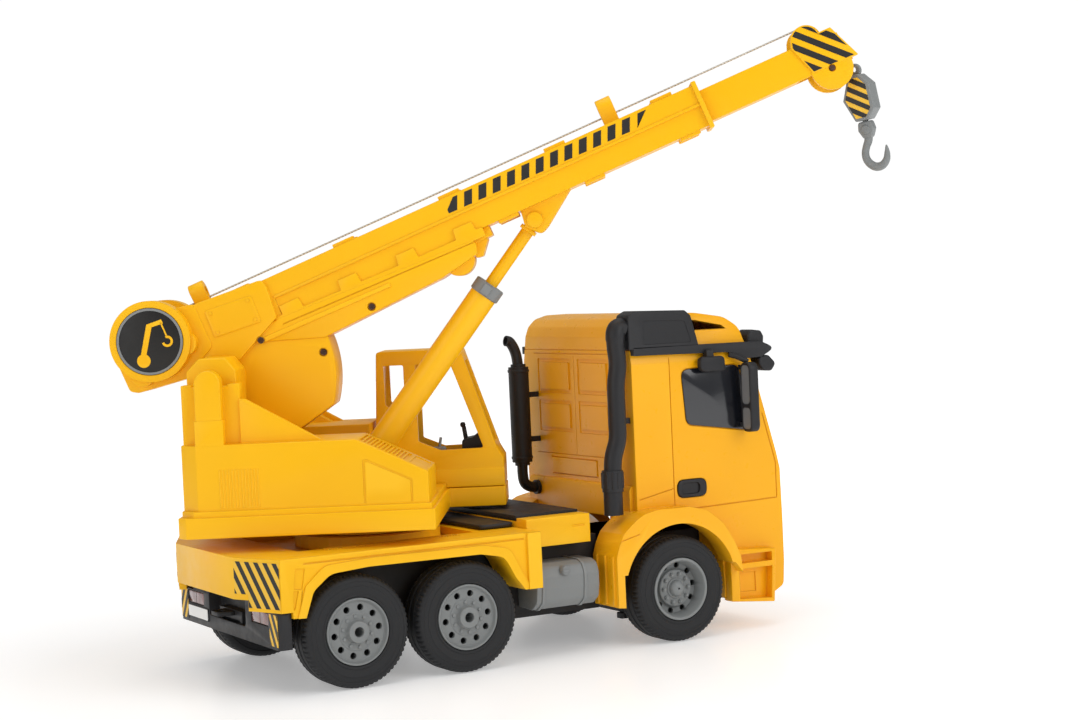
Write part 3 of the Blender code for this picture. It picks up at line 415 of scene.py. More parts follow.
def noise(tree, coords, scale, detail=3.0, rough=0.55):
    node = tree.nodes.new("ShaderNodeTexNoise")
    node.inputs["Scale"].default_value = scale
    node.inputs["Detail"].default_value = detail
    node.inputs["Roughness"].default_value = rough
    tree.links.new(coords, node.inputs["Vector"])
    return node.outputs["Fac"]


def ramp(tree, value, low, high, out_low, out_high):
    node = tree.nodes.new("ShaderNodeMapRange")
    node.inputs["From Min"].default_value = low
    node.inputs["From Max"].default_value = high
    node.inputs["To Min"].default_value = out_low
    node.inputs["To Max"].default_value = out_high
    tree.links.new(value, node.inputs["Value"])
    return node.outputs["Result"]


def blend_colour(tree, fac, a, b):
    node = tree.nodes.new("ShaderNodeMix")
    node.data_type = "RGBA"
    tree.links.new(fac, node.inputs["Factor"])
    for socket, value in (("A", a), ("B", b)):
        target = [s for s in node.inputs if s.name == socket and s.type == "RGBA"][0]
        if isinstance(value, tuple):
            target.default_value = value
        else:
            tree.links.new(value, target)
    return [s for s in node.outputs if s.type == "RGBA"][0]


def edge_round(tree, radius):
    node = tree.nodes.new("ShaderNodeBevel")
    node.samples = 4
    node.inputs["Radius"].default_value = radius * MM
    return node.outputs["Normal"]


def bump(tree, shader, height, strength, distance, normal=None):
    node = tree.nodes.new("ShaderNodeBump")
    node.inputs["Strength"].default_value = strength
    node.inputs["Distance"].default_value = distance * MM
    tree.links.new(height, node.inputs["Height"])
    if normal is not None:
        tree.links.new(normal, node.inputs["Normal"])
    tree.links.new(node.outputs["Normal"], shader.inputs["Normal"])


def object_coords(tree):
    return tree.nodes.new("ShaderNodeTexCoord").outputs["Object"]


def moulded(name, slot, colour, roughness=0.34, edge=0.45, grain=0.03, shift=0.03, coat=0.0, wear=0.3,
            shine=0.3):
    """Moulded plastic: faint flow variation, fine grain, rounded edges, lighter rubbed edges."""
    mat, tree, shader = surface(name, slot)
    coords = object_coords(tree)
    broad = noise(tree, coords, 14.0, 2.0)
    fine = noise(tree, coords, 900.0, 3.0, 0.6)
    scuff = noise(tree, coords, 160.0, 5.0, 0.65)
    dark = tuple(c * (1 - shift) for c in colour[:3]) + (1.0,)
    light = tuple(min(1.0, c * (1 + shift) + 0.002) for c in colour[:3]) + (1.0,)
    base = blend_colour(tree, ramp(tree, broad, 0.3, 0.7, 0.0, 1.0), dark, light)
    rub = tree.nodes.new("ShaderNodeNewGeometry").outputs["Pointiness"]
    worn = tuple(min(1.0, c * 1.25 + 0.03) for c in colour[:3]) + (1.0,)
    base = blend_colour(tree, ramp(tree, rub, 0.53, 0.62, 0.0, wear), base, worn)
    tree.links.new(base, shader.inputs["Base Color"])
    tree.links.new(ramp(tree, scuff, 0.35, 0.75, roughness - 0.05, roughness + 0.10),
                   shader.inputs["Roughness"])
    shader.inputs["Coat Weight"].default_value = coat
    shader.inputs["Coat Roughness"].default_value = 0.12
    shader.inputs["Specular IOR Level"].default_value = shine
    bump(tree, shader, fine, 0.25, grain, edge_round(tree, edge))
    return mat


def rubber(name, slot):
    mat, tree, shader = surface(name, slot)
    coords = object_coords(tree)
    fine = noise(tree, coords, 1400.0, 4.0, 0.7)
    dust = noise(tree, coords, 60.0, 5.0, 0.6)
    base = blend_colour(tree, ramp(tree, dust, 0.35, 0.75, 0.0, 1.0), (0.011, 0.0115, 0.013, 1),
                        (0.018, 0.0185, 0.020, 1))
    tree.links.new(base, shader.inputs["Base Color"])
    tree.links.new(ramp(tree, dust, 0.3, 0.7, 0.55, 0.72), shader.inputs["Roughness"])
    shader.inputs["Specular IOR Level"].default_value = 0.35
    bump(tree, shader, fine, 0.35, 0.05, edge_round(tree, 0.2))
    return mat


def glazing(name, slot):
    """Smoked near-black plastic, seen through a clear gloss coat."""
    mat, tree, shader = surface(name, slot)
    coords = object_coords(tree)
    haze = noise(tree, coords, 25.0, 3.0)
    base = blend_colour(tree, ramp(tree, haze, 0.3, 0.7, 0.0, 1.0), (0.0075, 0.0085, 0.012, 1),
                        (0.009, 0.010, 0.014, 1))
    tree.links.new(base, shader.inputs["Base Color"])
    tree.links.new(ramp(tree, haze, 0.3, 0.7, 0.10, 0.22), shader.inputs["Roughness"])
    shader.inputs["Coat Weight"].default_value = 0.3
    shader.inputs["Coat Roughness"].default_value = 0.05
    bump(tree, shader, noise(tree, coords, 500.0), 0.06, 0.02, edge_round(tree, 0.3))
    return mat


def lens(name, slot, colour, ribs):
    """Lamp lens with moulded flutes across it."""
    mat, tree, shader = surface(name, slot)
    coords = object_coords(tree)
    wave = tree.nodes.new("ShaderNodeTexWave")
    wave.wave_type = "BANDS"
    wave.bands_direction = "Y"
    wave.inputs["Scale"].default_value = ribs
    tree.links.new(coords, wave.inputs["Vector"])
    dark = tuple(c * 0.6 for c in colour[:3]) + (1.0,)
    tree.links.new(blend_colour(tree, wave.outputs["Fac"], dark, colour), shader.inputs["Base Color"])
    shader.inputs["Roughness"].default_value = 0.16
    shader.inputs["Coat Weight"].default_value = 0.7
    bump(tree, shader, wave.outputs["Fac"], 0.5, 0.2, edge_round(tree, 0.3))
    return mat


def cord(name, slot):
    """Twisted thread: slanted strands round a thin rope."""
    mat, tree, shader = surface(name, slot)
    coords = object_coords(tree)
    wave = tree.nodes.new("ShaderNodeTexWave")
    wave.wave_type = "BANDS"
    wave.bands_direction = "DIAGONAL"
    wave.inputs["Scale"].default_value = 480.0
    wave.inputs["Distortion"].default_value = 1.5
    tree.links.new(coords, wave.inputs["Vector"])
    base = blend_colour(tree, wave.outputs["Fac"], (0.36, 0.34, 0.30, 1), (0.68, 0.66, 0.61, 1))
    tree.links.new(base, shader.inputs["Base Color"])
    shader.inputs["Roughness"].default_value = 0.85
    bump(tree, shader, wave.outputs["Fac"], 0.7, 0.15)
    return mat


def metal(name, slot, colour, roughness=0.3):
    mat, tree, shader = surface(name, slot)
    coords = object_coords(tree)
    drawn = noise(tree, coords, 700.0, 4.0)
    shader.inputs["Base Color"].default_value = colour
    shader.inputs["Metallic"].default_value = 1.0
    tree.links.new(ramp(tree, drawn, 0.3, 0.7, roughness - 0.08, roughness + 0.12),
                   shader.inputs["Roughness"])
    bump(tree, shader, drawn, 0.12, 0.02, edge_round(tree, 0.25))
    return mat


def make_materials():
    return {
        "yellow": moulded("yellow_plastic", "yellow_plastic", (0.88, 0.46, 0.002, 1), 0.36, shine=0.22),
        "cab": moulded("cab_yellow_plastic", "cab_yellow_plastic", (0.88, 0.41, 0.002, 1), 0.32,
                       coat=0.06, shine=0.25),
        "black": moulded("black_plastic", "black_plastic", (0.014, 0.014, 0.016, 1), 0.45, wear=0.15,
                         shine=0.3),
        "step": moulded("step_plastic", "black_plastic", (0.020, 0.019, 0.019, 1), 0.5, grain=0.12,
                        wear=0.2),
        "brown": moulded("dark_brown_plastic", "black_plastic", (0.07, 0.035, 0.022, 1), 0.45),
        "inside": moulded("inner_plastic", "black_plastic", (0.010, 0.009, 0.009, 1), 0.6),
        "paint": moulded("black_print", "black_plastic", (0.012, 0.011, 0.010, 1), 0.4, edge=0.05),
        "stripe": moulded("yellow_print", "yellow_plastic", (0.78, 0.46, 0.03, 1), 0.4, edge=0.05),
        "grey": moulded("grey_plastic", "grey_plastic", (0.20, 0.21, 0.21, 1), 0.42, wear=0.25),
        "white": moulded("white_print", "clear_lens", (0.80, 0.80, 0.78, 1), 0.35, edge=0.05),
        "tyre": rubber("tyre_rubber", "tyre_rubber"),
        "glass": glazing("dark_glazing", "dark_glazing"),
        "mirror": moulded("mirror_face", "dark_glazing", (0.16, 0.165, 0.17, 1), 0.2, edge=0.1,
                          shine=0.5),
        "red": lens("red_lens", "red_lens", (0.16, 0.035, 0.03, 1), 40.0),
        "clear": lens("clear_lens", "clear_lens", (0.75, 0.77, 0.80, 1), 60.0),
        "steel": metal("axle_steel", "axle_steel", (0.62, 0.62, 0.63, 1)),
        "cord": cord("rope_cord", "rope_cord"),
    }


# ---------------------------------------------------------------- wheels

TREAD_BLOCKS = 66
TREAD_STEPS = 3


def tyre_mesh(s):
    """Tyre with three grooves round it and notched shoulders; (radius, y, notch depth) profile."""
    r = WHEEL_RADIUS
    half = [(17.3, 9.0, 0), (17.5, 9.6, 0), (18.6, 9.9, 0), (19.2, 9.55, 0), (20.6, 9.75, 0),
            (22.8, 10.15, 0),
            (23.1, 9.9, 0), (25.2, 9.85, 0), (25.5, 10.15, 0), (26.8, 9.75, 0.0), (27.6, 9.15,
                    0.35), (28.25, 8.4, 0.65),
            (28.6, 7.4, 0.7), (28.75, 6.0, 0.55), (28.8, 5.3, 0.0), (28.2, 5.1, 0), (28.2, 4.5, 0), (r,
                    4.3, 0),
            (r, 1.0, 0.0), (28.15, 0.8, 0)]
    profile = half + [(a, -b, c) for a, b, c in reversed(half)]
    steps = TREAD_BLOCKS * TREAD_STEPS
    verts = []
    for i in range(steps):
        a = 2 * math.pi * i / steps
        for radius, y, notch in profile:
            late = (i + (1 if y < 0 else 0)) % TREAD_STEPS == 0
            rr = radius - notch if late else radius
            verts.append((rr * math.cos(a), s * 61.0 + y, rr * math.sin(a)))
    n = len(profile)
    faces = []
    for i in range(steps):
        j = (i + 1) % steps
        for k in range(n):
            m = (k + 1) % n
            faces.append((i * n + k, i * n + m, j * n + m, j * n + k))
    return new_object(verts, faces)


def tyre(place, body, s, name, mats):
    emit(tyre_mesh(s), name + "_rubber", place, body, mats["tyre"], [name], 24.0)


def bolt_circle(radius, count, turn=0.11):
    for i in range(count):
        a = 2 * math.pi * i / count + turn
        yield radius * math.cos(a), radius * math.sin(a)


def rear_rim(place, body, s, name, mats):
    profile = [(2.5, 54.5), (2.5, 72.2), (2.8, 72.5), (5.2, 72.5), (5.5, 72.2), (5.9, 69.9),
               (6.3, 69.5), (9.4, 69.5),
               (9.9, 69.1), (15.0, 69.1), (15.5, 69.6), (15.9, 70.7), (16.3, 71.0), (16.8, 71.0), (17.0,
                       70.7), (17.0, 51.6),
               (15.4, 51.6), (15.4, 67.2), (6.0, 67.2), (6.0, 54.5)]
    ob = lathe([(a, s * b) for a, b in profile], (0, 0, 0), "Y", 80)
    for x, z in bolt_circle(12.3, 10):
        ob = carve(ob, prism(circle(x, z, 1.7, 20), *span(s, 66, 71), "Y"))
    bumps = [prism(circle(x, z, 0.85, 12), *span(s, 69.0, 70.3), "Y") for x,
             z in bolt_circle(7.9, 10, 0.42)]
    ob = joined(ob, *bumps)
    emit(ob, name + "_disc", place, body, mats["grey"], [name])
    back = prism(circle(0, 0, 15.2, 48), *span(s, 52.0, 53.0), "Y")
    emit(back, name + "_back", place, body, mats["inside"])


def front_rim(place, body, s, name, mats):
    profile = [(0.6, 61.8), (0.6, 68.9), (2.2, 68.8), (3.6, 68.2), (4.3, 67.2), (4.6, 65.9),
               (5.4, 65.9), (5.8, 65.3),
               (9.6, 65.3), (10.1, 64.9), (10.4, 63.4), (11.2, 62.8), (13.6, 63.2), (15.0, 69.9), (15.5,
                       70.8), (16.0, 71.0),
               (16.8, 71.0), (17.0, 70.7), (17.0, 51.6), (15.6, 51.6), (15.2, 61.4), (6.0, 61.2), (6.0,
                       54.5), (3.2, 54.5),
               (3.2, 61.8)]
    ob = lathe([(a, s * b) for a, b in profile], (0, 0, 0), "Y", 80)
    for x, z in bolt_circle(12.5, 10):
        ob = carve(ob, prism(circle(x, z, 1.6, 20), *span(s, 59, 70), "Y"))
    nuts = []
    for x, z in bolt_circle(7.8, 10, 0.0):
        nuts.append(prism(circle(x, z, 1.25, 6), *span(s, 65.0, 66.3), "Y"))
        nuts.append(prism(circle(x, z, 0.7, 12), *span(s, 66.2, 66.8), "Y"))
    emit(joined(ob, *nuts), name + "_disc", place, body, mats["grey"], [name])
    back = prism(circle(0, 0, 15.2, 48), *span(s, 53.0, 54.0), "Y")
    emit(back, name + "_back", place, body, mats["inside"])


def wheels(mats):
    """Six tyres with their rims, and the two axles."""
    for x, name in ((AXLES[0], "rear"), (AXLES[1], "middle")):
        place = TRUCK @ moved(x, 0, WHEEL_RADIUS)
        bar = rod((0, -61.2, 0), (0, 61.2, 0), 3.0)
        emit(bar, name + "_axle_bar", place, name + "_wheels", mats["steel"], [name + "_axle"])
        for s, side in ((-1, "right"), (1, "left")):
            tyre(place, name + "_wheels", s, f"tyre_{name}_{side}", mats)
            rear_rim(place, name + "_wheels", s, f"rim_{name}_{side}", mats)
    place = TRUCK @ moved(AXLES[2], 0, WHEEL_RADIUS)
    for s, side in ((-1, "right"), (1, "left")):
        tyre(place, "front_wheel_" + side, s, "tyre_front_" + side, mats)
        front_rim(place, "front_wheel_" + side, s, "rim_front_" + side, mats)


# ---------------------------------------------------------------- chassis and deck

def stripes(outline, lo, hi, axis, slope, width, gap, reach, shift=0.0):
    """Slanted bars cut to an outline; slope is the lean across the height of the outline."""
    bars = []
    xs = [p[0] for p in outline]
    zs = [p[1] for p in outline]
    z0 = min(zs) - 1
    z1 = max(zs) + 1
    t = min(xs) - reach + shift
    while t < max(xs) + reach:
        lean = slope * (z1 - z0)
        bar = prism([(t, z0), (t + width, z0), (t + width + lean, z1), (t + lean, z1)], lo - 0.5,
                    hi + 0.5, axis)
        bar = common(bar, prism(outline, lo, hi, axis))
        if len(bar.data.vertices):
            bars.append(bar)
        else:
            drop(bar)
        t += width + gap
    return joined(*bars)


def deck(mats):
    """Rear deck with wheel arches, tread ribs and warning stripes."""
    half = [(-53.5, -41), (-40.5, -71.6), (105.5, -71.6)]
    ob = prism(half + [(x, -y) for x, y in reversed(half)], 61.0, DECK_TOP)
    ob = fuse(ob, prism([(-53.5, -41), (-50.5, -41), (-50.5, 41), (-53.5, 41)], 48.0, 62.0))
    arch = rounded([(90, 46.5), (84, 57.8), (70, 60.6), (7, 61), (-14, 59.5), (-23.5, 52),
                    (-28.0, 39.1)],
                   [0, 9, 9, 9, 10, 8, 0], 5)
    side = [(-40.5, 43.8), (-40.5, 68.0), (105.5, 68.0), (105.5, 39.5), (95.5, 39.5)] + arch
    side += [(-34.5, 39.4), (-34.5, 42.6), (-37.5, 42.6)]
    band = [(-28.0, 39.1), (-32.3, 39.3), (-27.5, 55)]
    band += rounded([(-27.5, 55), (-17, 64.0), (8, 65.3), (72, 65.0), (87.5, 62.0), (94, 49),
                     (100.0, 39.5)],
                    [0, 9, 9, 9, 9, 8, 0], 5)[1:]
    band += [(95.5, 39.5)] + arch[:-1]
    for s in (-1, 1):
        corner = [(-53.5, 41), (-40.5, 71.6), (-37, 71.6), (-37, 69), (-50, 38)]
        ob = fuse(ob, prism(plan_side(corner, s), 48.0, 62.0))
        low = [(-49.5, 50.5), (-40.5, 71.6), (-37, 71.6), (-37, 69), (-46, 48.5)]
        ob = fuse(ob, prism(plan_side(low, s), 42.6, 49.0))
        ob = fuse(ob, prism(side, *span(s, 49.5, 71.6), "Y"))
        ob = fuse(ob, prism(band, *span(s, 69.0, 72.5), "Y"))
        ob = fuse(ob, prism([(97.6, 39.5), (97.6, 68.9), (105.5, 68.9), (105.5, 39.5)],
                            *span(s, 69, 73.2), "Y"))
        ob = carve(ob, prism([(-28, 65.6), (-28, 66.4), (96, 66.4), (96, 65.6)], *span(s, 71.0, 74.0),
                             "Y"))
        panel = [(-32.4, 64.0), (-27.4, 63.4), (-29.2, 53.4), (-33.6, 53.8)]
        ob = carve(ob, prism(panel, *span(s, 71.0, 74.0), "Y"))
        wedge = [(-33.8, 53.0), (-31.2, 52.8), (-33.2, 44.4), (-34.2, 43.6)]
        ob = carve(ob, prism(wedge, *span(s, 71.0, 74.0), "Y"))
        tread = [(-7.0, s * 45.6), (69.0, s * 45.6), (69.0, s * 53.0), (-7.0, s * 53.0)]
        ob = carve(ob, prism(tread, 68.4, 70))
    ob = carve(ob, box(-20, 80, -46.2, 46.2, 64, 72))
    emit(bevel(ob, 0.35), "deck_body_shell", TRUCK, "truck", mats["yellow"], ["deck_body"])
    ribs = []
    for s in (-1, 1):
        for k in range(46):
            x = -6.2 + 1.62 * k
            ribs.append(box(x, x + 0.9, *span(s, 46.4, 52.6), 68.2, 69.3))
    emit(joined(*ribs), "deck_tread_ribs", TRUCK, "truck", mats["yellow"])
    floor = prism([(-19.6, -45.8), (79.6, -45.8), (79.6, 45.8), (-19.6, 45.8)], 64.02, 64.3)
    floor = carve(floor, prism(circle(SLEW_X, 0, 39.5, 48), 63, 66))
    emit(floor, "deck_well_floor", TRUCK, "truck", mats["yellow"])
    backs = []
    sides = []
    for s in (-1, 1):
        label = [(1.0, 51.0), (1.0, 67.2), (32.6, 67.2), (32.6, 44.4), (10.6, 44.4), (10.6, 51.0)]
        turn = moved(-53.5, s * 41, 0) @ Matrix.Rotation(math.atan2(s * 31, 13), 4, "Z")
        if s > 0:
            turn = turn @ Matrix.Scale(-1, 4, (0, 1, 0))
        back = prism(label, -0.10, 0.05, "Y")
        back.data.transform(turn)
        backs.append(back)
        face = stripes(label, -0.16, 0.02, "Y", -0.62, 3.1, 3.3, 16)
        face.data.transform(turn)
        sides.append(face)
    emit(joined(*backs), "deck_corner_label", TRUCK, "truck", mats["stripe"])
    emit(joined(*sides), "deck_corner_stripes", TRUCK, "truck", mats["paint"])


def bridge(mats):
    ob = box(106.0, 145.0, -57, 57, 61.0, 72.0)
    for s in (-1, 1):
        ob = fuse(ob, box(106.0, 145.0, *span(s, 46, 57), 58.5, 73.8))
        ob = carve(ob, soft_box(134.0, 141.5, *span(s, 56.4, 58), 67.4, 68.4, 0.4, "Y"))
    emit(bevel(ob, 0.5, 3), "deck_bridge_box", TRUCK, "truck", mats["yellow"], ["deck_bridge"])
    ob = prism(rounded([(85, -44.3), (105.4, -44.3), (105.4, 44.3), (85, 44.3)], 3), 69.3, 71.8)
    emit(bevel(ob, 0.9, 3), "step_plate_low", TRUCK, "truck", mats["step"], ["step_plate_lower"], 50)
    side = [(106.4, 72.3), (144.8, 72.3), (144.8, 75.1), (126, 75.3), (122, 74.7), (117, 75.2),
            (106.4, 75.0)]
    ob = prism(side, -44.5, 44.5, "Y")
    ob = carve(ob, box(119.5, 120.1, -46, 46, 74.9, 76))
    emit(bevel(ob, 0.7, 3), "step_plate_high", TRUCK, "truck", mats["step"], ["step_plate_upper"], 50)


def bumper(mats):
    ob = prism(rounded([(-42, -69.5), (-42, 69.5), (-34.9, 69.5), (-34.9, -69.5)], [2, 2, 0, 0], 3),
               24.0, 42.2)
    ob = fuse(ob, box(-41.9, -30.3, -49.2, 49.2, 24.1, 47.6))
    ob = carve(ob, soft_box(-44, -35.0, -26, 26, 31.0, 52.0, 2.5, "X"))
    for s in (-1, 1):
        ob = carve(ob, soft_box(-43, -40.0, *span(s, 34.0, 57.0), 34.7, 41.6, 0.8, "X"))
    ob = fuse(ob, box(-40, -34.0, -16, 16, 24.3, 37.0))
    ob = carve(ob, soft_box(-41, -38.6, -12.5, 12.5, 26.0, 32.0, 1, "X"))
    hitch = rounded([(-49, -5), (-42.3, -7), (-39.0, -7), (-39.0, 7), (-42.3, 7), (-49, 5)], 1.8)
    ob = fuse(ob, carve(prism(hitch, 34.4, 36.6), rod((-45.5, 0, 33), (-45.5, 0, 38), 1.8)))
    emit(bevel(ob, 0.4), "rear_bumper_beam", TRUCK, "truck", mats["black"], ["rear_bumper"])
    plate = soft_box(-42.55, -41.3, 27.9, 56.6, 27.6, 33.4, 0.8, "X")
    emit(plate, "licence_plate_blank", TRUCK, "truck", mats["white"])
    frame = soft_box(-42.4, -41.4, 27.3, 57.2, 27.0, 34.0, 1.0, "X")
    frame = carve(frame, box(-44, -40, 28.2, 56.3, 27.9, 33.1))
    emit(frame, "licence_plate_frame", TRUCK, "truck", mats["black"])
    marks = []
    backs = []
    for s, side in ((-1, "right"), (1, "left")):
        lamp = bevel(soft_box(-41.8, -40.3, *span(s, 34.3, 56.7), 35.0, 41.3, 0.8, "X"), 0.3)
        lamp = carve(lamp, box(-42.5, -41.5, *span(s, 45.2, 45.8), 34, 42))
        emit(lamp, "tail_lamp_lens_" + side, TRUCK, "truck", mats["red"], ["tail_lamp_" + side])
        low, high = span(s, 58.2, 68.4)
        patch = [(low, 25.6), (high, 25.6), (high, 41.4), (low, 41.4)]
        backs.append(prism(patch, -42.12, -41.9, "X"))
        marks.append(stripes(patch, -42.25, -42.0, "X", -0.62 * s, 3.0, 3.4, 12))
    emit(joined(*backs), "bumper_marking_base", TRUCK, "truck", mats["stripe"])
    emit(joined(*marks), "bumper_marking_bars", TRUCK, "truck", mats["paint"])


def tanks(mats):
    radii = [0.5, 3, 4, 4, 4, 4, 3, 0.5]
    for s, side in ((-1, "right"), (1, "left")):
        shape = [(44.4, 26.4), (59, 25.7), (64.8, 30), (66.0, 37), (66.0, 43.4), (63.8, 48.4), (59, 50),
                 (44.4, 50)]
        ob = prism(end_side(rounded(shape, radii, 4), s), 105.9, 144.0, "X")
        ob = bevel(ob, 0.8, 3)
        for x in (108.9, 134.5):
            loop = outset(shape, 0.6)
            ob = fuse(ob, prism(end_side(rounded(loop, radii, 4), s), x, x + 1.6, "X"))
        ob = fuse(ob, rod((123.0, s * 60.0, 46.0), (123.0, s * 66.8, 46.0), 2.7))
        ob = fuse(ob, bevel(prism(circle(123.0, 46.0, 2.4, 32), *span(s, 66.0, 67.8), "Y"), 0.4, 2))
        ob = fuse(ob, box(121.0, 125.0, *span(s, 66.0, 68.2), 45.5, 46.5))
        emit(ob, "fuel_tank_shell_" + side, TRUCK, "truck", mats["grey"], ["fuel_tank_" + side])
    chassis = bpy.data.objects["chassis_frame"]
    chassis.data.materials.clear()
    chassis.data.materials.append(mats["inside"])
    for name in ("knuckle_left", "knuckle_right", "tie_rod"):
        node = bpy.data.objects[name]
        node.data.materials.clear()
        node.data.materials.append(mats["black"])
    ring = bpy.data.objects["slew_ring"]
    ring.data.materials.clear()
    ring.data.materials.append(mats["yellow"])


# ---------------------------------------------------------------- driver's cab

CAB_SIDE = [(173.5, 62), (173.5, 167), (175, 172.5), (179, 176.8), (186, 179), (200, 179.2), (220, 178),
            (238, 175), (247, 169), (250, 158), (267, 97), (269, 88), (269.5, 60), (269.5, 36),
            (268.5, 22), (262, 18.5), (228, 18.5), (228, 62)]
WINDOW = [(205.5, 147.3), (242.8, 148.2), (255.1, 110.2), (207.8, 117.0)]
INTAKE_SIDE = [(171.2, 160.0), (216.4, 160.0), (211.8, 177.0), (208, 180.0), (176, 181.0),
               (171.2, 178.6)]
FRONT_SLOPE = ((250.0, 158.0), (267.0, 97.0))


def slab(p, q, t0, t1, offset, depth):
    a = Vector(p)
    b = Vector(q)
    run = (b - a)
    out = Vector((-run.y, run.x)).normalized()
    c0 = a + run * t0
    c1 = a + run * t1
    pts = [c0 + out * offset, c1 + out * offset, c1 + out * (offset - depth),
           c0 + out * (offset - depth)]
    return [(v.x, v.y) for v in pts]


def cab_section():
    return rounded([(-60, 10), (60, 10), (60, 152), (54, 180.5), (-54, 180.5), (-60, 152)],
                   [0, 0, 10, 7, 7, 10], 7)


def flare_outline():
    back = [(166.5, 69.6), (161.5, 66.1), (157, 62.1), (153.8, 55.8), (152, 50)]
    top = rounded([(232, 43), (228, 52), (221.5, 62.1), (211.4, 70.2), (200, 73.2), (178.9, 73.4),
                   (171.0, 71.8)] + back,
                  [0, 6, 8, 8, 8, 8, 6, 4, 4, 3, 4, 0], 4)
    return [(152, 23), (156.5, 22.5), (156.5, 40), (228, 40), (233, 34)] + top


def cab(mats):
    outline = rounded(CAB_SIDE, [0, 4, 4, 6, 10, 20, 20, 14, 10, 14, 18, 6, 4, 4, 4, 3, 0, 0], 5)
    ob = prism(outline, -60, 60, "Y")
    ob = common(ob, prism(cab_section(), 160, 280, "X"))
    ob = bevel(ob, 1.1, 3, 50)
    ob = fuse(ob, prism([(171.3, 66), (171.3, 83.0), (172.3, 85.2), (174.5, 86), (174.5, 66)], -56, 56,
                        "Y"))
    x = AXLES[2]
    for s in (-1, 1):
        flare = prism(flare_outline(), *span(s, 58, 72), "Y")
        block = [(152, 23), (156.5, 22.5), (156.5, 57), (174.5, 57), (174.5, 72.3), (171.5, 72.0)]
        block += rounded([(171.5, 72.0), (166.5, 69.6), (161.5, 66.1), (157, 62.1), (153.8, 55.8),
                          (152, 50)],
                         [0, 4, 4, 3, 4, 0], 4)[1:]
        flare = fuse(flare, prism(block, *span(s, 47, 60), "Y"))
        flare = carve(flare, prism([(154.2, 58.6), (167, 61.6), (167, 61.0), (153.9, 58.0)],
                                   *span(s, 71.4, 73), "Y"))
        ob = fuse(ob, bevel(flare, 0.7, 3, 50))
        steps = prism([(229.0, 17), (258.0, 14), (260.0, 44), (229.0, 46)], *span(s, 58, 66), "Y")
        ob = fuse(ob, bevel(steps, 0.7, 2))
        y0, y1 = span(s, 60.5, 67)
        ob = carve(ob, prism([(234.5, 37.5), (257.0, 37.5), (257.0, 42.5), (234.5, 42.5)], y0, y1, "Y"))
        ob = carve(ob, prism([(234.5, 17.8), (256.0, 16.6), (257.0, 34.5), (234.5, 34.5)], y0, y1, "Y"))
        ob = carve(ob, prism([(238.5, 21.0), (249.0, 20.6), (249.0, 31.5), (238.5, 31.5)],
                             *span(s, 59.8, 67), "Y"))
        for k in range(3):
            rib = prism([(151.0, 24), (153, 24), (153, 51.6), (151.0, 49.6)],
                        *span(s, 50.6 + 8.3 * k, 52.4 + 8.3 * k), "Y")
            ob = fuse(ob, bevel(rib, 0.3, 2))
    cavity = [(176.5, 66), (176.5, 166), (181, 174), (200, 176), (219, 174), (236, 170.5), (243, 165),
              (247, 157), (264, 96), (266, 66)]
    ob = carve(ob, prism(cavity, -56.5, 56.5, "Y"))
    ob = carve(ob, box(130, 251, -36.8, 36.8, 5, 68))
    for s in (-1, 1):
        y0, y1 = span(s, 30.0, 80.0)
        ob = carve(ob, prism(circle(x, WHEEL_RADIUS, 35.8, 90, 1), y0, y1, "Y"))
        ob = carve(ob, box(x - 35.8, x + 35.8, y0, y1, 5, WHEEL_RADIUS))
        hole = rounded(outset(WINDOW, 0.6), 5, 6)
        ob = carve(ob, prism(hole, *span(s, 59.0, 62), "Y"))
        handle = rounded([(199.6, 76.6), (219.2, 76.6), (219.2, 87.0), (199.6, 87.0)], 4.5, 5)
        ob = carve(ob, prism(handle, *span(s, 58.4, 62), "Y"))
    ob = carve(ob, prism(slab(*FRONT_SLOPE, 0.14, 0.94, 2.0, 2.8), -53.3, 53.3, "Y"))
    for y0, y1 in ((-35.5, -2), (6, 43.5)):
        for z0, z1 in ((134.5, 154.5), (112.5, 130.5)):
            ob = carve(ob, soft_box(172, 174.0, y0, y1, z0, z1, 1.2, "X"))
            ob = fuse(ob, soft_box(173.2, 174.3, y0 + 2.2, y1 - 2.2, z0 + 2.2, z1 - 2.2, 1.0, "X"))
    ob = carve(ob, soft_box(172, 174.1, -20, 31, 88.0, 98.0, 0.5, "X"))
    ob = fuse(ob, soft_box(173.0, 174.6, -19.4, 30.4, 88.6, 97.4, 0.4, "X"))
    ob = carve(ob, box(268.8, 271, -34, 34, 50, 86))
    for s in (-1, 1):
        ob = carve(ob, box(268.4, 272, *span(s, 40, 57), 26.5, 38.5))
    cut = [(168, 159.8), (216.7, 159.8), (212.0, 177.2), (208.1, 180.2), (207.0, 184), (168, 184)]
    ob = carve(ob, prism(cut, -63.0, -49.8, "Y"))
    ob = carve(ob, *cab_lines())
    emit(ob, "cab_shell_body", TRUCK, "truck", mats["cab"], ["cab_shell"])


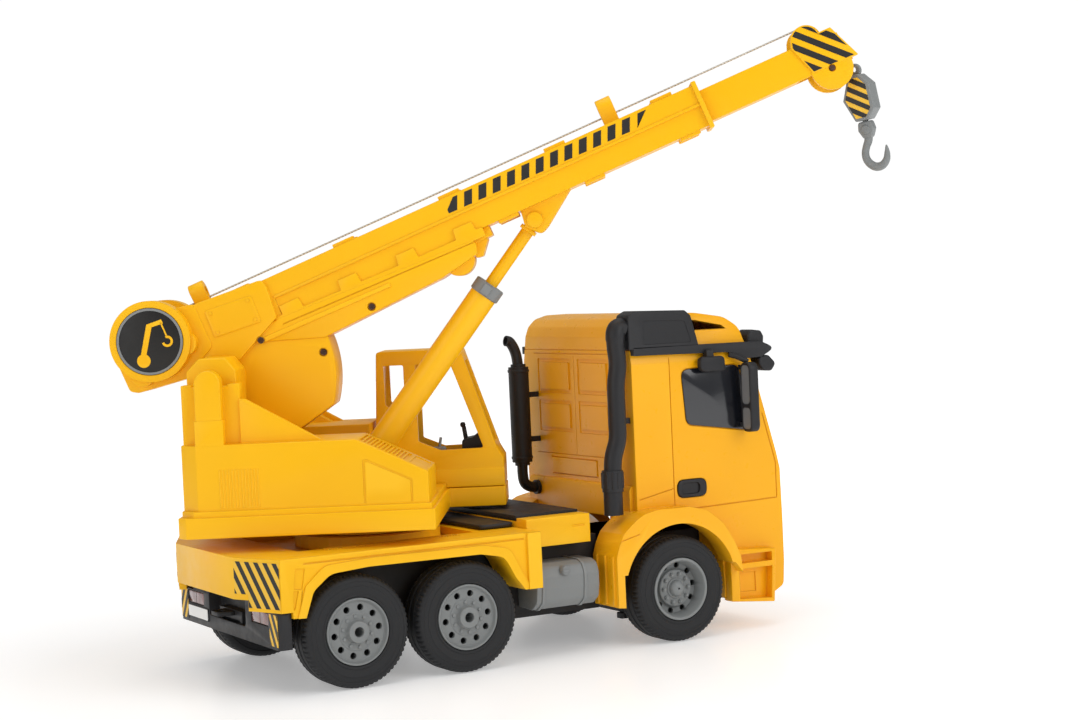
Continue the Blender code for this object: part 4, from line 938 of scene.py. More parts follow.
def cab_lines():
    """Thin cutters for the door gaps, the roof seam and the creases of the cab."""
    cuts = []
    w = 0.45
    for s in (-1, 1):
        y0, y1 = span(s, 59.3, 61)
        cuts.append(box(197.6, 197.6 + w, y0, y1, 73.0, 158))
        cuts.append(prism([(175.2, 78.4), (197.6, 82.8), (197.6, 82.3), (175.2, 77.9)], y0, y1, "Y"))
        cuts.append(prism([(175, 70.0), (266, 72.0), (266, 71.4), (175, 69.4)], y0, y1, "Y"))
        cuts.append(prism([(258.0, 120), (258.5, 120), (266.4, 92), (266.4, 72), (265.9, 72),
                           (265.9, 91.8)], y0, y1, "Y"))
    cuts.append(box(172, 173.9, -58.5, 58.5, 159.4, 159.9))
    cuts.append(box(172, 173.9, -47.5, 47.5, 157.2, 157.6))
    cuts.append(box(172, 173.9, -50.0, 50.0, 175.4, 175.8))
    cuts.append(box(172, 173.9, 1.9, 2.3, 100, 156))
    cuts.append(box(172, 173.9, -44, 47.5, 99.6, 100.0))
    return cuts


def cab_glass(mats):
    for s, side in ((-1, "right"), (1, "left")):
        ob = prism(rounded(WINDOW, 4.6, 6), *span(s, 59.2, 60.15), "Y")
        emit(bevel(ob, 0.35, 3), "side_window_pane_" + side, TRUCK, "truck", mats["glass"],
             ["side_window_" + side])
        ob = prism(rounded([(200.0, 77.0), (218.8, 77.0), (218.8, 86.6), (200.0, 86.6)], 4.2, 5),
                   *span(s, 58.6, 60.7), "Y")
        ob = carve(ob, prism(rounded([(202.0, 78.8), (214.4, 78.8), (214.4, 84.8), (202.0, 84.8)], 2.6,
                                     4), *span(s, 59.2, 62), "Y"))
        emit(bevel(ob, 0.3, 2), "door_handle_" + side, TRUCK, "truck", mats["black"])
        ob = soft_box(268.6, 270.3, *span(s, 40.3, 56.7), 26.8, 38.2, 2.0, "X")
        emit(bevel(ob, 0.4, 3), "headlight_lens_" + side, TRUCK, "truck", mats["clear"],
             ["headlight_" + side])
    ob = prism(slab(*FRONT_SLOPE, 0.148, 0.932, 0.5, 1.0), -53, 53, "Y")
    emit(bevel(ob, 0.3, 2), "windscreen_pane", TRUCK, "truck", mats["glass"], ["windscreen"])
    wipers = []
    for y in (-24, 16):
        a = Vector((264.2, y, 104.0))
        b = Vector((257.5, y + 26, 128.5))
        wipers.append(sweep([a, (a + b) / 2 + Vector((0.6, 0, 0)), b], [0.9, 0.7, 0.5], 10))
    emit(joined(*wipers), "windscreen_wipers", TRUCK, "truck", mats["black"])
    grille = soft_box(269.0, 270.6, -33.7, 33.7, 50.3, 85.7, 2.0, "X")
    for k in range(5):
        grille = carve(grille, soft_box(269.7, 272, -30.5, 30.5, 53.6 + 6.4 * k, 57.2 + 6.4 * k, 1.2,
                                        "X"))
    emit(bevel(grille, 0.3, 2), "radiator_grille_slats", TRUCK, "truck", mats["black"],
         ["radiator_grille"])


def cab_dress(mats):
    ob = bevel(prism(rounded(INTAKE_SIDE, [0.8, 0.8, 3, 2, 3, 2.5], 5), -62.4, -50.0, "Y"), 1.7, 4)
    dent = rounded([(180.5, 162.4), (211.4, 162.4), (207.6, 174.4), (180.5, 175.4)], [1, 1, 2, 2], 4)
    ob = carve(ob, prism(dent, -63.5, -62.1, "Y"))
    emit(ob, "air_intake_housing", TRUCK, "truck", mats["black"], ["air_intake_box"])
    visor = rounded([(174, 156.6), (236, 155.4), (246, 151.2), (258, 151.6), (267.5, 156.2),
                     (258, 160.3), (174, 161.0)],
                    [0.5, 8, 6, 4, 3, 5, 0.5], 4)
    ob = prism(visor, -62.4, 62.4, "Y")
    inner = prism(outset([(173.5, 140)] + CAB_SIDE[1:10] + [(255.02, 140)], 0.15), -70, 70, "Y")
    ob = carve(ob, common(inner, prism(outset(cab_section(), 0.15), 150, 290, "X")))
    for s in (-1, 1):
        lamp = rounded([(250.9, 158.0), (261.6, 158.0), (262.0, 163.0), (260.2, 166.2), (252.6, 167.2),
                        (251.2, 164.0)], 2.2, 5)
        ob = fuse(ob, bevel(prism(lamp, *span(s, 49.0, 60.0), "Y"), 1.2, 4))
        wide = rounded([(214.6, 145.4), (231.0, 145.4), (231.0, 153.8), (214.6, 153.8)], [4, 1.5, 3, 3],
                       5)
        ob = fuse(ob, bevel(prism(wide, *span(s, 62.0, 66.2), "Y"), 1.0, 3))
        ob = fuse(ob, soft_box(219.6, 224.0, *span(s, 61.0, 65.0), 152.0, 157.6, 1.2, "X"))
        arm = spline([(236.5, s * 61.5, 154.0), (240.5, s * 63.5, 152.6), (246.0, s * 66.0, 149.5)], 5)
        ob = fuse(ob, sweep(arm, [1.5] * len(arm), 16))
    emit(ob, "sun_visor_strip", TRUCK, "truck", mats["black"], ["sun_visor"])
    low = rounded([(257.0, 151.9), (263.5, 152.4), (268.6, 147.4), (265.4, 143.2), (259.6, 143.6),
                   (256.6, 147.6)], 2.6, 5)
    ob = bevel(prism(low, -61.8, -50.0, "Y"), 1.2, 4)
    emit(ob, "front_mirror", TRUCK, "truck", mats["black"])
    path = spline([(170.8, -57, 171.8), (168.0, -57.1, 172.2), (165.8, -57.6, 169.8),
                   (165.4, -57.8, 163.0), (166.1, -58, 152),
                   (164.5, -58, 141), (164.3, -58, 124), (164.0, -58, 112), (160.8, -58, 102), (160.0,
                           -58, 90), (159.7, -58, 72)], 5)
    radii = []
    for p in path:
        radii.append(5.2 if p[2] > 166 else 4.85)
    ob = sweep(path, radii, 28)
    ob = fuse(ob, rod((159.7, -58, 71.4), (159.7, -58, 86), 5.2),
              rod((159.75, -58, 84), (159.9, -58, 95.5), 5.8))
    for k in range(12):
        a = 2 * math.pi * k / 12
        cx = 159.8 + 5.75 * math.cos(a)
        cy = -58 + 5.75 * math.sin(a)
        ob = fuse(ob, rod((cx, cy, 86), (cx, cy, 94.6), 0.45, 8))
    ob = fuse(ob, box(161, 173.2, -57, -54, 120, 123))
    emit(ob, "intake_snorkel_pipe", TRUCK, "truck", mats["black"], ["intake_snorkel"], 40)
    top = spline([(153.6, 45, 165.6), (156.2, 45, 164.8), (158.8, 45, 161.0), (160.4, 45, 156.0),
                  (161.2, 45, 149)], 5)
    ob = sweep(top, [3.1] * len(top), 24)
    ob = carve(ob, sweep([(152.8, 45, 165.9), (155.2, 45, 165.2)], 2.3, 20))
    ob = fuse(ob, rod((161.2, 45, 94.6), (161.2, 45, 150.0), 5.9, 48))
    ob = fuse(ob, rod((161.2, 45, 92.6), (161.2, 45, 151.6), 4.4, 32))
    for z in (96.5, 147.0):
        ob = fuse(ob, rod((161.2, 45, z), (161.2, 45, z + 1.4), 6.3, 48))
    low = spline([(161.2, 45, 96), (161.0, 45, 88), (162.0, 45, 82.5), (165.5, 45, 79.8),
                  (171.0, 45, 79.2)], 5)
    ob = fuse(ob, sweep(low, [3.1] * len(low), 24))
    ob = fuse(ob, rod((169.0, 45, 79.2), (171.0, 45, 79.2), 4.2, 32))
    ob = fuse(ob, box(163, 173.2, 43.5, 46.5, 106, 109), box(163, 173.2, 43.5, 46.5, 132, 135))
    emit(ob, "exhaust_stack_pipe", TRUCK, "truck", mats["black"], ["exhaust_stack"], 40)
    for s, side in ((-1, "right"), (1, "left")):
        y0, y1 = span(s, 63.4, 73.2)
        case = prism(rounded([(y0, 110.6), (y1, 110.6), (y1, 149.4), (y0, 149.4)], 4.2, 6), 242.0,
                     248.0, "X")
        case = bevel(case, 1.0, 3)
        tall = rounded([(y0 + 1.1, 126.0), (y1 - 1.1, 126.0), (y1 - 1.1, 147.8), (y0 + 1.1, 147.8)],
                       3.0, 5)
        short = rounded([(y0 + 1.1, 112.2), (y1 - 1.1, 112.2), (y1 - 1.1, 124.2), (y0 + 1.1, 124.2)],
                        2.6, 5)
        case = carve(case, prism(tall, 241, 242.7, "X"), prism(short, 241, 242.7, "X"))
        case = fuse(case, box(243.0, 245.6, *span(s, 60.7, 66.0), 113.0, 115.6),
                    box(243.0, 245.6, *span(s, 60.7, 66.0), 145.2, 147.8))
        emit(case, "main_mirror_case_" + side, TRUCK, "truck", mats["black"], ["main_mirror_" + side])
        panes = joined(prism(tall, 242.4, 242.85, "X"), prism(short, 242.4, 242.85, "X"))
        emit(panes, "main_mirror_glass_" + side, TRUCK, "truck", mats["mirror"])


# ---------------------------------------------------------------- upper deck

def slope_frame():
    """Matrix of the grille slope on the near side box: x down the slope, z out of it."""
    a = math.atan2(37.4 - 55.0, 39.6 - 3.7)
    return moved(3.7, 0, 55.0) @ Matrix.Rotation(-a, 4, "Y"), math.hypot(39.6 - 3.7, 37.4 - 55.0)


def upper_deck(mats):
    plan = [(-88.6, -64.7), (-83.9, -69.4), (42.5, -69.4), (42.5, 33), (73.4, 33), (73.4, 69.4),
            (-83.9, 69.4), (-88.6, 64.7)]
    ob = bevel(prism(plan, 8.0, 18.6), 0.5, 3)
    inset = [(-87.4, -60.0), (-80.0, -67.8), (41.0, -67.8), (41.0, 32), (1.2, 32), (1.2, 67.8),
             (-80.0, 67.8), (-87.4, 60.0)]
    ob = fuse(ob, bevel(prism(inset, 17.0, 21.6), 0.5, 2))
    side = [(-86.8, 12), (-86.8, 55), (3.7, 55), (39.6, 37.4), (39.6, 12)]
    body = prism(side, -66.4, -19, "Y")
    body = common(body, prism([(-86.8, -57.4), (-77.8, -66.4), (60, -66.4), (60, -19), (-86.8, -19)], 5,
                              70))
    ob = fuse(ob, bevel(body, 0.6, 3))
    body = prism([(-86.8, 12), (-86.8, 57), (1.6, 57), (1.6, 12)], 19, 66.4, "Y")
    body = common(body, prism([(-86.8, 57.4), (-77.8, 66.4), (60, 66.4), (60, 19), (-86.8, 19)], 5, 70))
    ob = fuse(ob, bevel(body, 0.6, 3))
    ob = fuse(ob, box(-86.8, -77, -20, 20, 12, 52.0))
    for s in (-1, 1):
        wall = [(-85.2, 50), (-85.2, 85.5), (-79.5, 85.5), (-79.5, 84.5), (-61.5, 84.5), (-61.5, 85.5),
                (-55, 85.5),
                (-55, 77), (-18, 54.0), (-18, 50), (-80, 50)]
        ob = fuse(ob, bevel(prism(wall, *span(s, 50, 59), "Y"), 0.5, 2))
        gusset = [(-55.5, 50), (-55.5, 77.6), (-52.5, 77.6), (-14.5, 55.4), (-14.5, 50)]
        ob = fuse(ob, bevel(prism(gusset, *span(s, 56.5, 60.6), "Y"), 0.5, 2))
        post = [(-77.3, 50), (-77.3, 86.0)] + arc(-70.5, 86.0, 6.8, 170, 10, 14) + [(-63.7, 86.0),
                (-63.7, 50)]
        ob = fuse(ob, bevel(prism(post, *span(s, 57, 66), "Y"), 0.9, 3, 50))
        foot = [(-77.9, 52), (-77.9, 67.6), (-63.1, 67.6), (-63.1, 52)]
        ob = fuse(ob, bevel(prism(foot, *span(s, 57, 66.3), "Y"), 0.4, 2))
        hub = [(-83.5, 50), (-83.5, 92), (-77, 98.6), (-63.0, 98.6), (-58, 92), (-58, 50)]
        ob = fuse(ob, bevel(prism(hub, *span(s, 21.2, 51), "Y"), 0.9, 3))
    ob = fuse(ob, lathe([(9, 2.6), (32, 2.6), (32, 9), (9, 9)], (0, 0, 0), "Z", 64))
    ob = carve(ob, box(-34, 14, -13, 13, 12.0, 30.0))
    place, length = slope_frame()
    dent = box(1.5, length - 12.5, -60.5, -25, -1.0, 1.0)
    dent.data.transform(place)
    ob = carve(ob, dent)
    tip = box(length - 10.5, length - 1.6, -60.5, -25, -0.5, 1.0)
    tip.data.transform(place)
    ob = carve(ob, tip)
    trap = rounded([(6.6, 22.6), (6.6, 44.6), (9.0, 44.6), (31.4, 34.0), (31.4, 22.6)], 0.6, 2)
    core = rounded([(7.6, 21.4), (7.6, 43.4), (9.2, 43.4), (30.4, 33.4), (30.4, 21.4)], 0.6, 2)
    groove = carve(prism(trap, -67.5, -66.05, "Y"), prism(core, -68, -65, "Y"))
    ob = carve(ob, groove)
    emit(ob, "upper_deck_shell", DECK, "upper_deck", mats["yellow"], ["upper_deck"])
    ribs = []
    x = 2.6
    while x < length - 14:
        slat = box(x, x + 0.9, -60.4, -25.1, -1.1, -0.12)
        slat.data.transform(place)
        ribs.append(slat)
        x += 2.0
    u = -66.0
    while u < -46.5:
        ribs.append(rod((u, -66.35, 23.0), (u, -66.35, 42.4), 0.42, 10))
        u += 1.62
    for s in (-1, 1):
        for u in (-60.5, -52.0):
            ribs.append(rod((u, s * 66.2, 45.0), (u, s * 66.2, 46.0), 0.2, 6))
    emit(joined(*ribs), "upper_deck_ribs", DECK, "upper_deck", mats["yellow"])


def operator_cab(mats):
    shape = rounded([(2.0, 18.9), (73.1, 18.9), (73.1, 34), (69.8, 40.0), (51.7, 95.3), (5.3, 95.3)],
                    [0.4, 0.8, 1.5, 1.5, 2.0, 2.0], 4)
    ob = prism(shape, 33.3, 69.1, "Y")
    inner = [(4.6, 21.4), (70.6, 21.4), (70.6, 33.2), (67.2, 39.2), (50.0, 92.6), (7.6, 92.6)]
    ob = carve(ob, prism(inner, 36.0, 66.4, "Y"))
    rear = rounded([(9.2, 66), (9.0, 87.6), (20.0, 87.6), (20.0, 57.5)], 1.2, 3)
    front = rounded([(26.6, 87.6), (45.8, 87.6), (62.4, 40.2), (38.7, 39.8), (26.6, 45.0)], 1.2, 3)
    ob = carve(ob, prism(rear, 30, 72, "Y"), prism(front, 30, 72, "Y"))
    ob = carve(ob, prism([(57.5, 88.5), (48.5, 88.5), (63.6, 42.5), (75, 42.5)], 37.6, 64.8, "Y"))
    ob = bevel(ob, 0.6, 2)
    ob = fuse(ob, bevel(prism([(1.7, 19.0), (73.3, 19.0), (73.3, 29.0), (1.7, 29.0)], 32.9, 35.2, "Y"),
                        0.4, 2))
    emit(ob, "operator_cab_frame", DECK, "upper_deck", mats["yellow"], ["operator_cab"])
    seat = rounded([(14, 21.7), (34, 21.7), (34.6, 32), (22.5, 33.2), (19.5, 57), (16, 59.5),
                    (13.2, 57)], [0.5, 0.5, 2.5, 3, 3, 2, 2], 5)
    ob = bevel(prism(seat, 42.5, 58, "Y"), 1.4, 4)
    emit(ob, "operator_seat_pad", DECK, "upper_deck", mats["black"], ["operator_seat"], 60)
    rest = rounded([(24, 34.2), (27, 41.0), (41, 41.4), (41.4, 38.5), (38, 34.2)],
                   [1, 2.6, 2, 1.5, 1.5], 4)
    ob = bevel(prism(rest, 37.2, 42.0, "Y"), 0.8, 3)
    ob = fuse(ob, box(28, 36, 38.2, 41.0, 21.7, 35), rod((37.5, 39.6, 40.5), (38.6, 39.6, 46.5), 0.8,
            14))
    emit(ob, "armrest", DECK, "upper_deck", mats["grey"])
    desk = rounded([(50, 21.7), (64, 21.7), (64, 38.5), (61.5, 49.5), (56, 45.5), (50, 44.5)],
                   [0.5, 0.5, 2, 1.5, 1.5, 2], 4)
    ob = bevel(prism(desk, 41, 60, "Y"), 0.8, 3)
    ob = fuse(ob, rod((52, 45, 43), (50.8, 45, 52), 0.9, 14),
              rod((52, 55, 43), (50.8, 55, 51), 0.9, 14))
    knob = lathe([(0.2, -1.5), (1.2, -1.2), (1.6, 0), (1.2, 1.2), (0.2, 1.5)], (50.7, 45, 52.6), "Z",
                 18)
    ob = joined(ob, knob)
    emit(ob, "operator_console_desk", DECK, "upper_deck", mats["black"], ["operator_console"])


# ---------------------------------------------------------------- boom

def screw_spots():
    return ((26.4, 10.4, 17.2), (87.2, 2.6, 15.2), (53.8, -8.8, 14.4))


def boom_base(mats):
    girder = prism([(-6, 16.4), (-6, 39.1), (289, 39.1), (289, 16.4)], -14, 14, "Y")
    for s in (-1, 1):
        lower = [(42, 10), (42, 28.0), (289.5, 28.0), (289.5, 10)]
        girder = carve(girder, prism(lower, *span(s, 13.3, 16), "Y"))
        lip = [(42, 27.6), (42, 29.2), (288.5, 29.2), (288.5, 27.6)]
        girder = fuse(girder, bevel(prism(lip, *span(s, 13.0, 14.7), "Y"), 0.3, 2))
    shell = rounded([(14, 14), (40, 17.2), (150, 12.6), (151, 10), (149.5, 5), (127, 1.0), (58, -2)],
                    [0, 0, 0.6, 1.5, 2, 6, 0], 3)
    low = [(47.0, -36.2), (22, -41.5), (5, -38), (-11, -27), (-18, -8), (-18, 8)]
    sector = [(59.4, -2.0)] + arc(0, 0, 59.5, -4, -37, 18) + low + [(14, 17)]
    ob = fuse(girder, bevel(prism(shell, -15.2, 15.2, "Y"), 0.5, 2),
              bevel(prism(sector, -14.4, 14.4, "Y"), 0.6, 2))
    tail = rounded([(-48, 14), (-44, 11.5), (-18, 8), (2, 18), (2, 42.5), (-14, 46), (-36, 46),
                    (-48, 36)], 3, 3)
    ob = fuse(ob, bevel(prism(tail, -18, 18, "Y"), 0.5, 2))
    cover = [(38, 12), (38, 18.3), (42.3, 18.2), (42.3, 23.0), (53.6, 23.0), (54.2, 17.7), (75.8, 17.2)]
    cover += [(76.4, 22.6), (87.0, 22.4), (87.6, 17.0), (109.0, 16.6), (109.6, 22.0), (120.0, 21.8)]
    cover += [(120.6, 16.4), (142.2, 16.3), (142.8, 22.0), (153.4, 21.8), (154.0, 17.2), (157.5, 16.8),
              (157.5, 12)]
    ob = fuse(ob, bevel(prism(cover, -14.9, 14.9, "Y"), 0.4, 2))
    plate = rounded([(-4, 20), (-4, 41), (3, 42.2), (39.8, 39.6), (40.8, 35), (39.2, 18.1), (12.1, 5.6),
                     (-6, 6)], [0, 3, 3, 3, 0, 2, 2, 0], 3)
    ob = fuse(ob, bevel(prism(plate, -17.2, 17.2, "Y"), 0.7, 3))
    for s in (-1, 1):
        ring = prism(circle(DRUM[0], DRUM[1], 21.4, 72), *span(s, 15, 26), "Y")
        for a in (math.radians(-28), math.radians(-128)):
            lobe = circle(DRUM[0] + 18.0 * math.cos(a), DRUM[1] + 18.0 * math.sin(a), 6.2, 28)
            ring = fuse(ring, prism(lobe, *span(s, 16, 24.5), "Y"))
        ob = fuse(ob, bevel(ring, 0.9, 3, 45))
        ob = carve(ob, prism(circle(DRUM[0], DRUM[1], 17.8, 72), *span(s, 24.8, 27), "Y"))
        ob = fuse(ob, bevel(prism([(27, 8.6), (27, 11.4), (101, 10.2), (101, 8.0)], *span(s, 14, 16.2),
                                  "Y"), 0.5, 2))
        ob = fuse(ob, prism(circle(0, 0, 10, 36), *span(s, 14.0, 20.6), "Y"))
        ob = carve(ob, prism([(40.5, 13.2), (40.5, 13.7), (150.2, 11.6), (150.2, 11.1)],
                             *span(s, 14.6, 16), "Y"))
        panel = rounded([(5.0, 21.6), (5.6, 36.6), (31.6, 34.2), (31.0, 19.2)], 1.2, 3)
        ob = fuse(ob, bevel(prism(panel, *span(s, 16.5, 17.75), "Y"), 0.35, 2))
        for x, z in ((7.6, 23.6), (8.2, 34.2), (29.0, 32.4), (28.6, 21.6)):
            ob = fuse(ob, prism(circle(x, z, 0.9, 14), *span(s, 17.0, 18.25), "Y"))
        for x, z, y in screw_spots():
            ob = carve(ob, prism(circle(x, z, 2.3, 24), *span(s, y - 1.6, y + 2), "Y"))
    boss = prism(circle(139, 6.2, 8.4, 40), -9.5, 9.5, "Y")
    ob = fuse(ob, bevel(boss, 0.4, 2))
    ob = fuse(ob, bevel(prism([(149, 10.5), (149, 16.4), (160.8, 16.4), (160.8, 11.0)], -10.5, 10.5,
                              "Y"), 0.4, 2))
    ob = fuse(ob, bevel(prism([(148, 3.4), (148, 12), (158, 12), (157.2, 9.6), (151.6, 3.0)], -8.5, 8.5,
                              "Y"), 0.4, 2))
    for x in (20.0, 81.2, 142.4, 203.6, 265.0):
        for s in (-1, 1):
            ob = fuse(ob, bevel(soft_box(x, x + 12, *span(s, 6.4, 12.4), 37.6, 41.0, 0.4, "Y"), 0.3, 2))
    for x in (166.6, 216.5, 271.5):
        for s in (-1, 1):
            ob = fuse(ob, bevel(soft_box(x, x + 11.4, *span(s, 6.4, 12.4), 14.6, 17.2, 0.4, "Y"), 0.3,
                                2))
    ob = fuse(ob, bevel(box(288.0, 290.6, -15.8, 15.8, 14.6, 40.8), 0.5, 2))
    bracket = rounded([(179.6, 17.5), (210.1, 17.5), (189.9, 3.4), (184.5, 0.8), (178.2, 7.6)],
                      [0, 0, 4, 5, 4], 5)
    for s in (-1, 1):
        ob = fuse(ob, bevel(prism(bracket, *span(s, 5.2, 8.6), "Y"), 0.5, 2))
    px, pz = CYLINDER_PIN
    pin = fuse(rod((px, -9.4, pz), (px, 9.6, pz), 2.2), bevel(prism(circle(px, pz, 4.3, 40), -10.5,
            -8.1, "Y"), 0.5, 2))
    ob = fuse(ob, pin)
    for x in (0.0, 238.6):
        hoop = arc(0, 48.4, 5.0, 0, 180, 18) + [(-3.6, 43.0), (-3.6, 38), (3.6, 38), (3.6, 43.0)]
        loop = bevel(prism(hoop, x, x + 8.4, "X"), 0.4, 2)
        loop = carve(loop, prism(circle(0, 47.0, 3.0, 28), x - 1, x + 10, "X"))
        ob = fuse(ob, loop)
    ob = carve(ob, box(118, 300, -11.7, 11.7, 17.6, 35.6))
    ob = carve(ob, rod((DRUM[0], -14.5, DRUM[1]), (DRUM[0], 14.5, DRUM[1]), 11.4, 48))
    ob = carve(ob, box(-20, -0.6, -2.2, 2.2, 43.3, 49.4), box(-26, -10, -2.3, 2.3, 42.0, 56.0))
    ob = carve(ob, rod((0, -22, 0), (0, 22, 0), 4.4, 32))
    emit(ob, "boom_base_shell", BOOM, "boom", mats["yellow"], ["boom_base"])
    heads = []
    for s in (-1, 1):
        for x, z, y in screw_spots():
            head = bevel(prism(circle(x, z, 1.75, 24), *span(s, y - 1.5, y - 0.6), "Y"), 0.35, 2)
            head = carve(head, box(x - 1.1, x + 1.1, *span(s, y - 1.0, y), z - 0.25, z + 0.25),
                         box(x - 0.25, x + 0.25, *span(s, y - 1.0, y), z - 1.1, z + 1.1))
            heads.append(head)
    emit(joined(*heads), "boom_screws", BOOM, "boom", mats["brown"])


def boom_marks(mats):
    bars = []
    for s in (-1, 1):
        y0, y1 = span(s, 13.9, 14.12)
        bars.append(prism([(144.6, 30.6), (144.6, 32.6), (150.0, 37.6), (152.6, 37.6), (149.4, 30.5)],
                          y0, y1, "Y"))
        for k in range(12):
            x = 153.4 + 8.27 * k
            bars.append(prism([(x, 30.5), (x + 4.5, 30.4), (x + 7.7, 37.5), (x + 3.2, 37.6)], y0, y1,
                              "Y"))
        bars.append(prism([(253.4, 30.6), (253.6, 31.4), (261.2, 37.5), (256.4, 37.5)], y0, y1, "Y"))
    emit(joined(*bars), "boom_bar_marks", BOOM, "boom", mats["paint"])


def winch(mats):
    for s, side in ((-1, "right"), (1, "left")):
        cap = bevel(prism(circle(DRUM[0], DRUM[1], 17.4, 64), *span(s, 24.9, 26.1), "Y"), 0.4, 2)
        emit(cap, "winch_cover_" + side, BOOM, "boom", mats["paint"], ["winch_cap_" + side])
        rim = lathe([(16.2, s * 26.0), (17.5, s * 26.0), (17.5, s * 26.35), (16.2, s * 26.35)],
                    (DRUM[0], 0, DRUM[1]), "Y", 72)
        emit(rim, "winch_cover_rim_" + side, BOOM, "boom", mats["grey"])
        y0, y1 = span(s, 26.0, 26.28)
        cx, cz = DRUM
        icon = prism(circle(cx - 7.0, cz - 8.0, 3.6, 28), y0, y1, "Y")
        icon = fuse(icon, prism([(cx - 9.0, cz - 7.2), (cx - 6.6, cz - 8.8), (cx + 4.6, cz + 7.2),
                                 (cx + 2.2, cz + 9.0)], y0, y1, "Y"))
        icon = fuse(icon, prism([(cx + 2.6, cz + 8.8), (cx + 4.4, cz + 6.4), (cx + 10.4, cz + 5.8),
                                 (cx + 10.4, cz + 8.2)], y0, y1, "Y"))
        line = prism([(cx + 9.0, cz + 7.0), (cx + 9.8, cz + 7.0), (cx + 9.8, cz - 1.0),
                      (cx + 9.0, cz - 1.0)], y0, y1, "Y")
        ring = carve(prism(circle(cx + 8.6, cz - 3.6, 3.0, 28), y0, y1, "Y"),
                     prism(circle(cx + 8.6, cz - 3.6, 1.7, 24), y0 - 1, y1 + 1, "Y"))
        ring = carve(ring, box(cx + 4, cx + 8.6, y0 - 1, y1 + 1, cz - 3.4, cz + 1))
        emit(joined(icon, line, ring), "winch_sign_" + side, BOOM, "boom", mats["yellow"])
    profile = [(0.7, -21.5), (2.0, -21.5), (2.0, -14.2), (10.8, -14.2), (10.4, -12.6), (7.0, -12.6),
               (7.0, 12.6),
               (10.4, 12.6), (10.8, 14.2), (2.0, 14.2), (2.0, 21.5), (0.7, 21.5)]
    place = BOOM @ moved(DRUM[0], 0, DRUM[1])
    emit(lathe(profile, (0, 0, 0), "Y", 48), "winch_drum_spool", place, "winch_drum", mats["black"],
         ["winch_drum"])
    turns = []
    y = -8.0
    while y < 8.5:
        turns.append(lathe([(7.0, y), (7.5, y - 0.42), (8.0, y), (7.5, y + 0.42)], (0, 0, 0), "Y", 40))
        y += 0.86
    emit(joined(*turns), "winch_rope_turns", place, "winch_drum", mats["cord"])


def boom_head(mats):
    ob = bevel(box(176, 349, -11.3, 11.3, 18.0, 35.2), 0.4, 2)
    ob = carve(ob, box(174, 352, -6.4, 6.4, 20.0, 33.2))
    ob = carve(ob, box(341, 352, -9.0, 9.0, 10.0, 40.0))
    outline = [(343.4, 35.4)] + arc(352.2, 36.0, 8.0, 165, 24, 12) + [(359.8, 37.2), (366.6, 37.2),
            (374.4, 18.2), (349.0, 18.6)]
    for s in (-1, 1):
        head = bevel(prism(outline, *span(s, 9.0, 12.3), "Y"), 0.4, 2)
        cheek = bevel(prism(circle(HEAD_PIN[0], HEAD_PIN[1], 11.2, 56), *span(s, 9.0, 11.9), "Y"), 0.4,
                      2)
        ob = fuse(ob, head, cheek)
        ob = carve(ob, prism(circle(HEAD_PIN[0], HEAD_PIN[1], 1.9, 24), *span(s, 8, 14), "Y"))
    ob = fuse(ob, box(366.4, 369.0, -10, 10, 26.5, 33.5))
    emit(ob, "boom_inner_shell", BOOM, "boom_head", mats["yellow"], ["boom_inner"])
    marks = []
    area = [(344.4, 34.9)] + arc(352.2, 36.0, 7.3, 168, 28, 10) + [(359.6, 36.4), (366.0, 36.4),
            (373.2, 19.0), (349.6, 19.4)]
    for s in (-1, 1):
        y0, y1 = span(s, 12.25, 12.45)
        sheet = stripes(area, y0, y1, "Y", -0.98, 4.5, 4.3, 48, 2.0)
        marks.append(sheet)
    emit(joined(*marks), "boom_head_stripes", BOOM, "boom_head", mats["paint"])
    dots = []
    for s in (-1, 1):
        dots.append(bevel(prism(circle(HEAD_PIN[0], HEAD_PIN[1], 1.5, 24), *span(s, 11.0, 12.4), "Y"),
                          0.3, 2))
    emit(joined(*dots), "wheel_pin_ends", BOOM, "boom_head", mats["brown"])
    for (px, pz), radius, name in ((TOP_PIN, 8.2, "top"), (HEAD_PIN, HEAD_WHEEL, "head")):
        half = 3.6
        profile = [(0.6, -8.6), (1.6, -8.6), (1.6, -half), (radius - 0.4, -half), (radius, -half + 0.4),
                   (radius, -1.5),
                   (radius - 1.9, -0.4), (radius - 1.9, 0.4), (radius, 1.5), (radius,
                           half - 0.4), (radius - 0.4, half),
                   (1.6, half), (1.6, 8.6), (0.6, 8.6)]
        place = BOOM @ moved(px, 0, pz)
        ob = lathe(profile, (0, 0, 0), "Y", 64)
        emit(ob, f"rope_wheel_{name}_disc", place, "rope_wheel_" + name, mats["yellow"],
             ["rope_wheel_" + name])


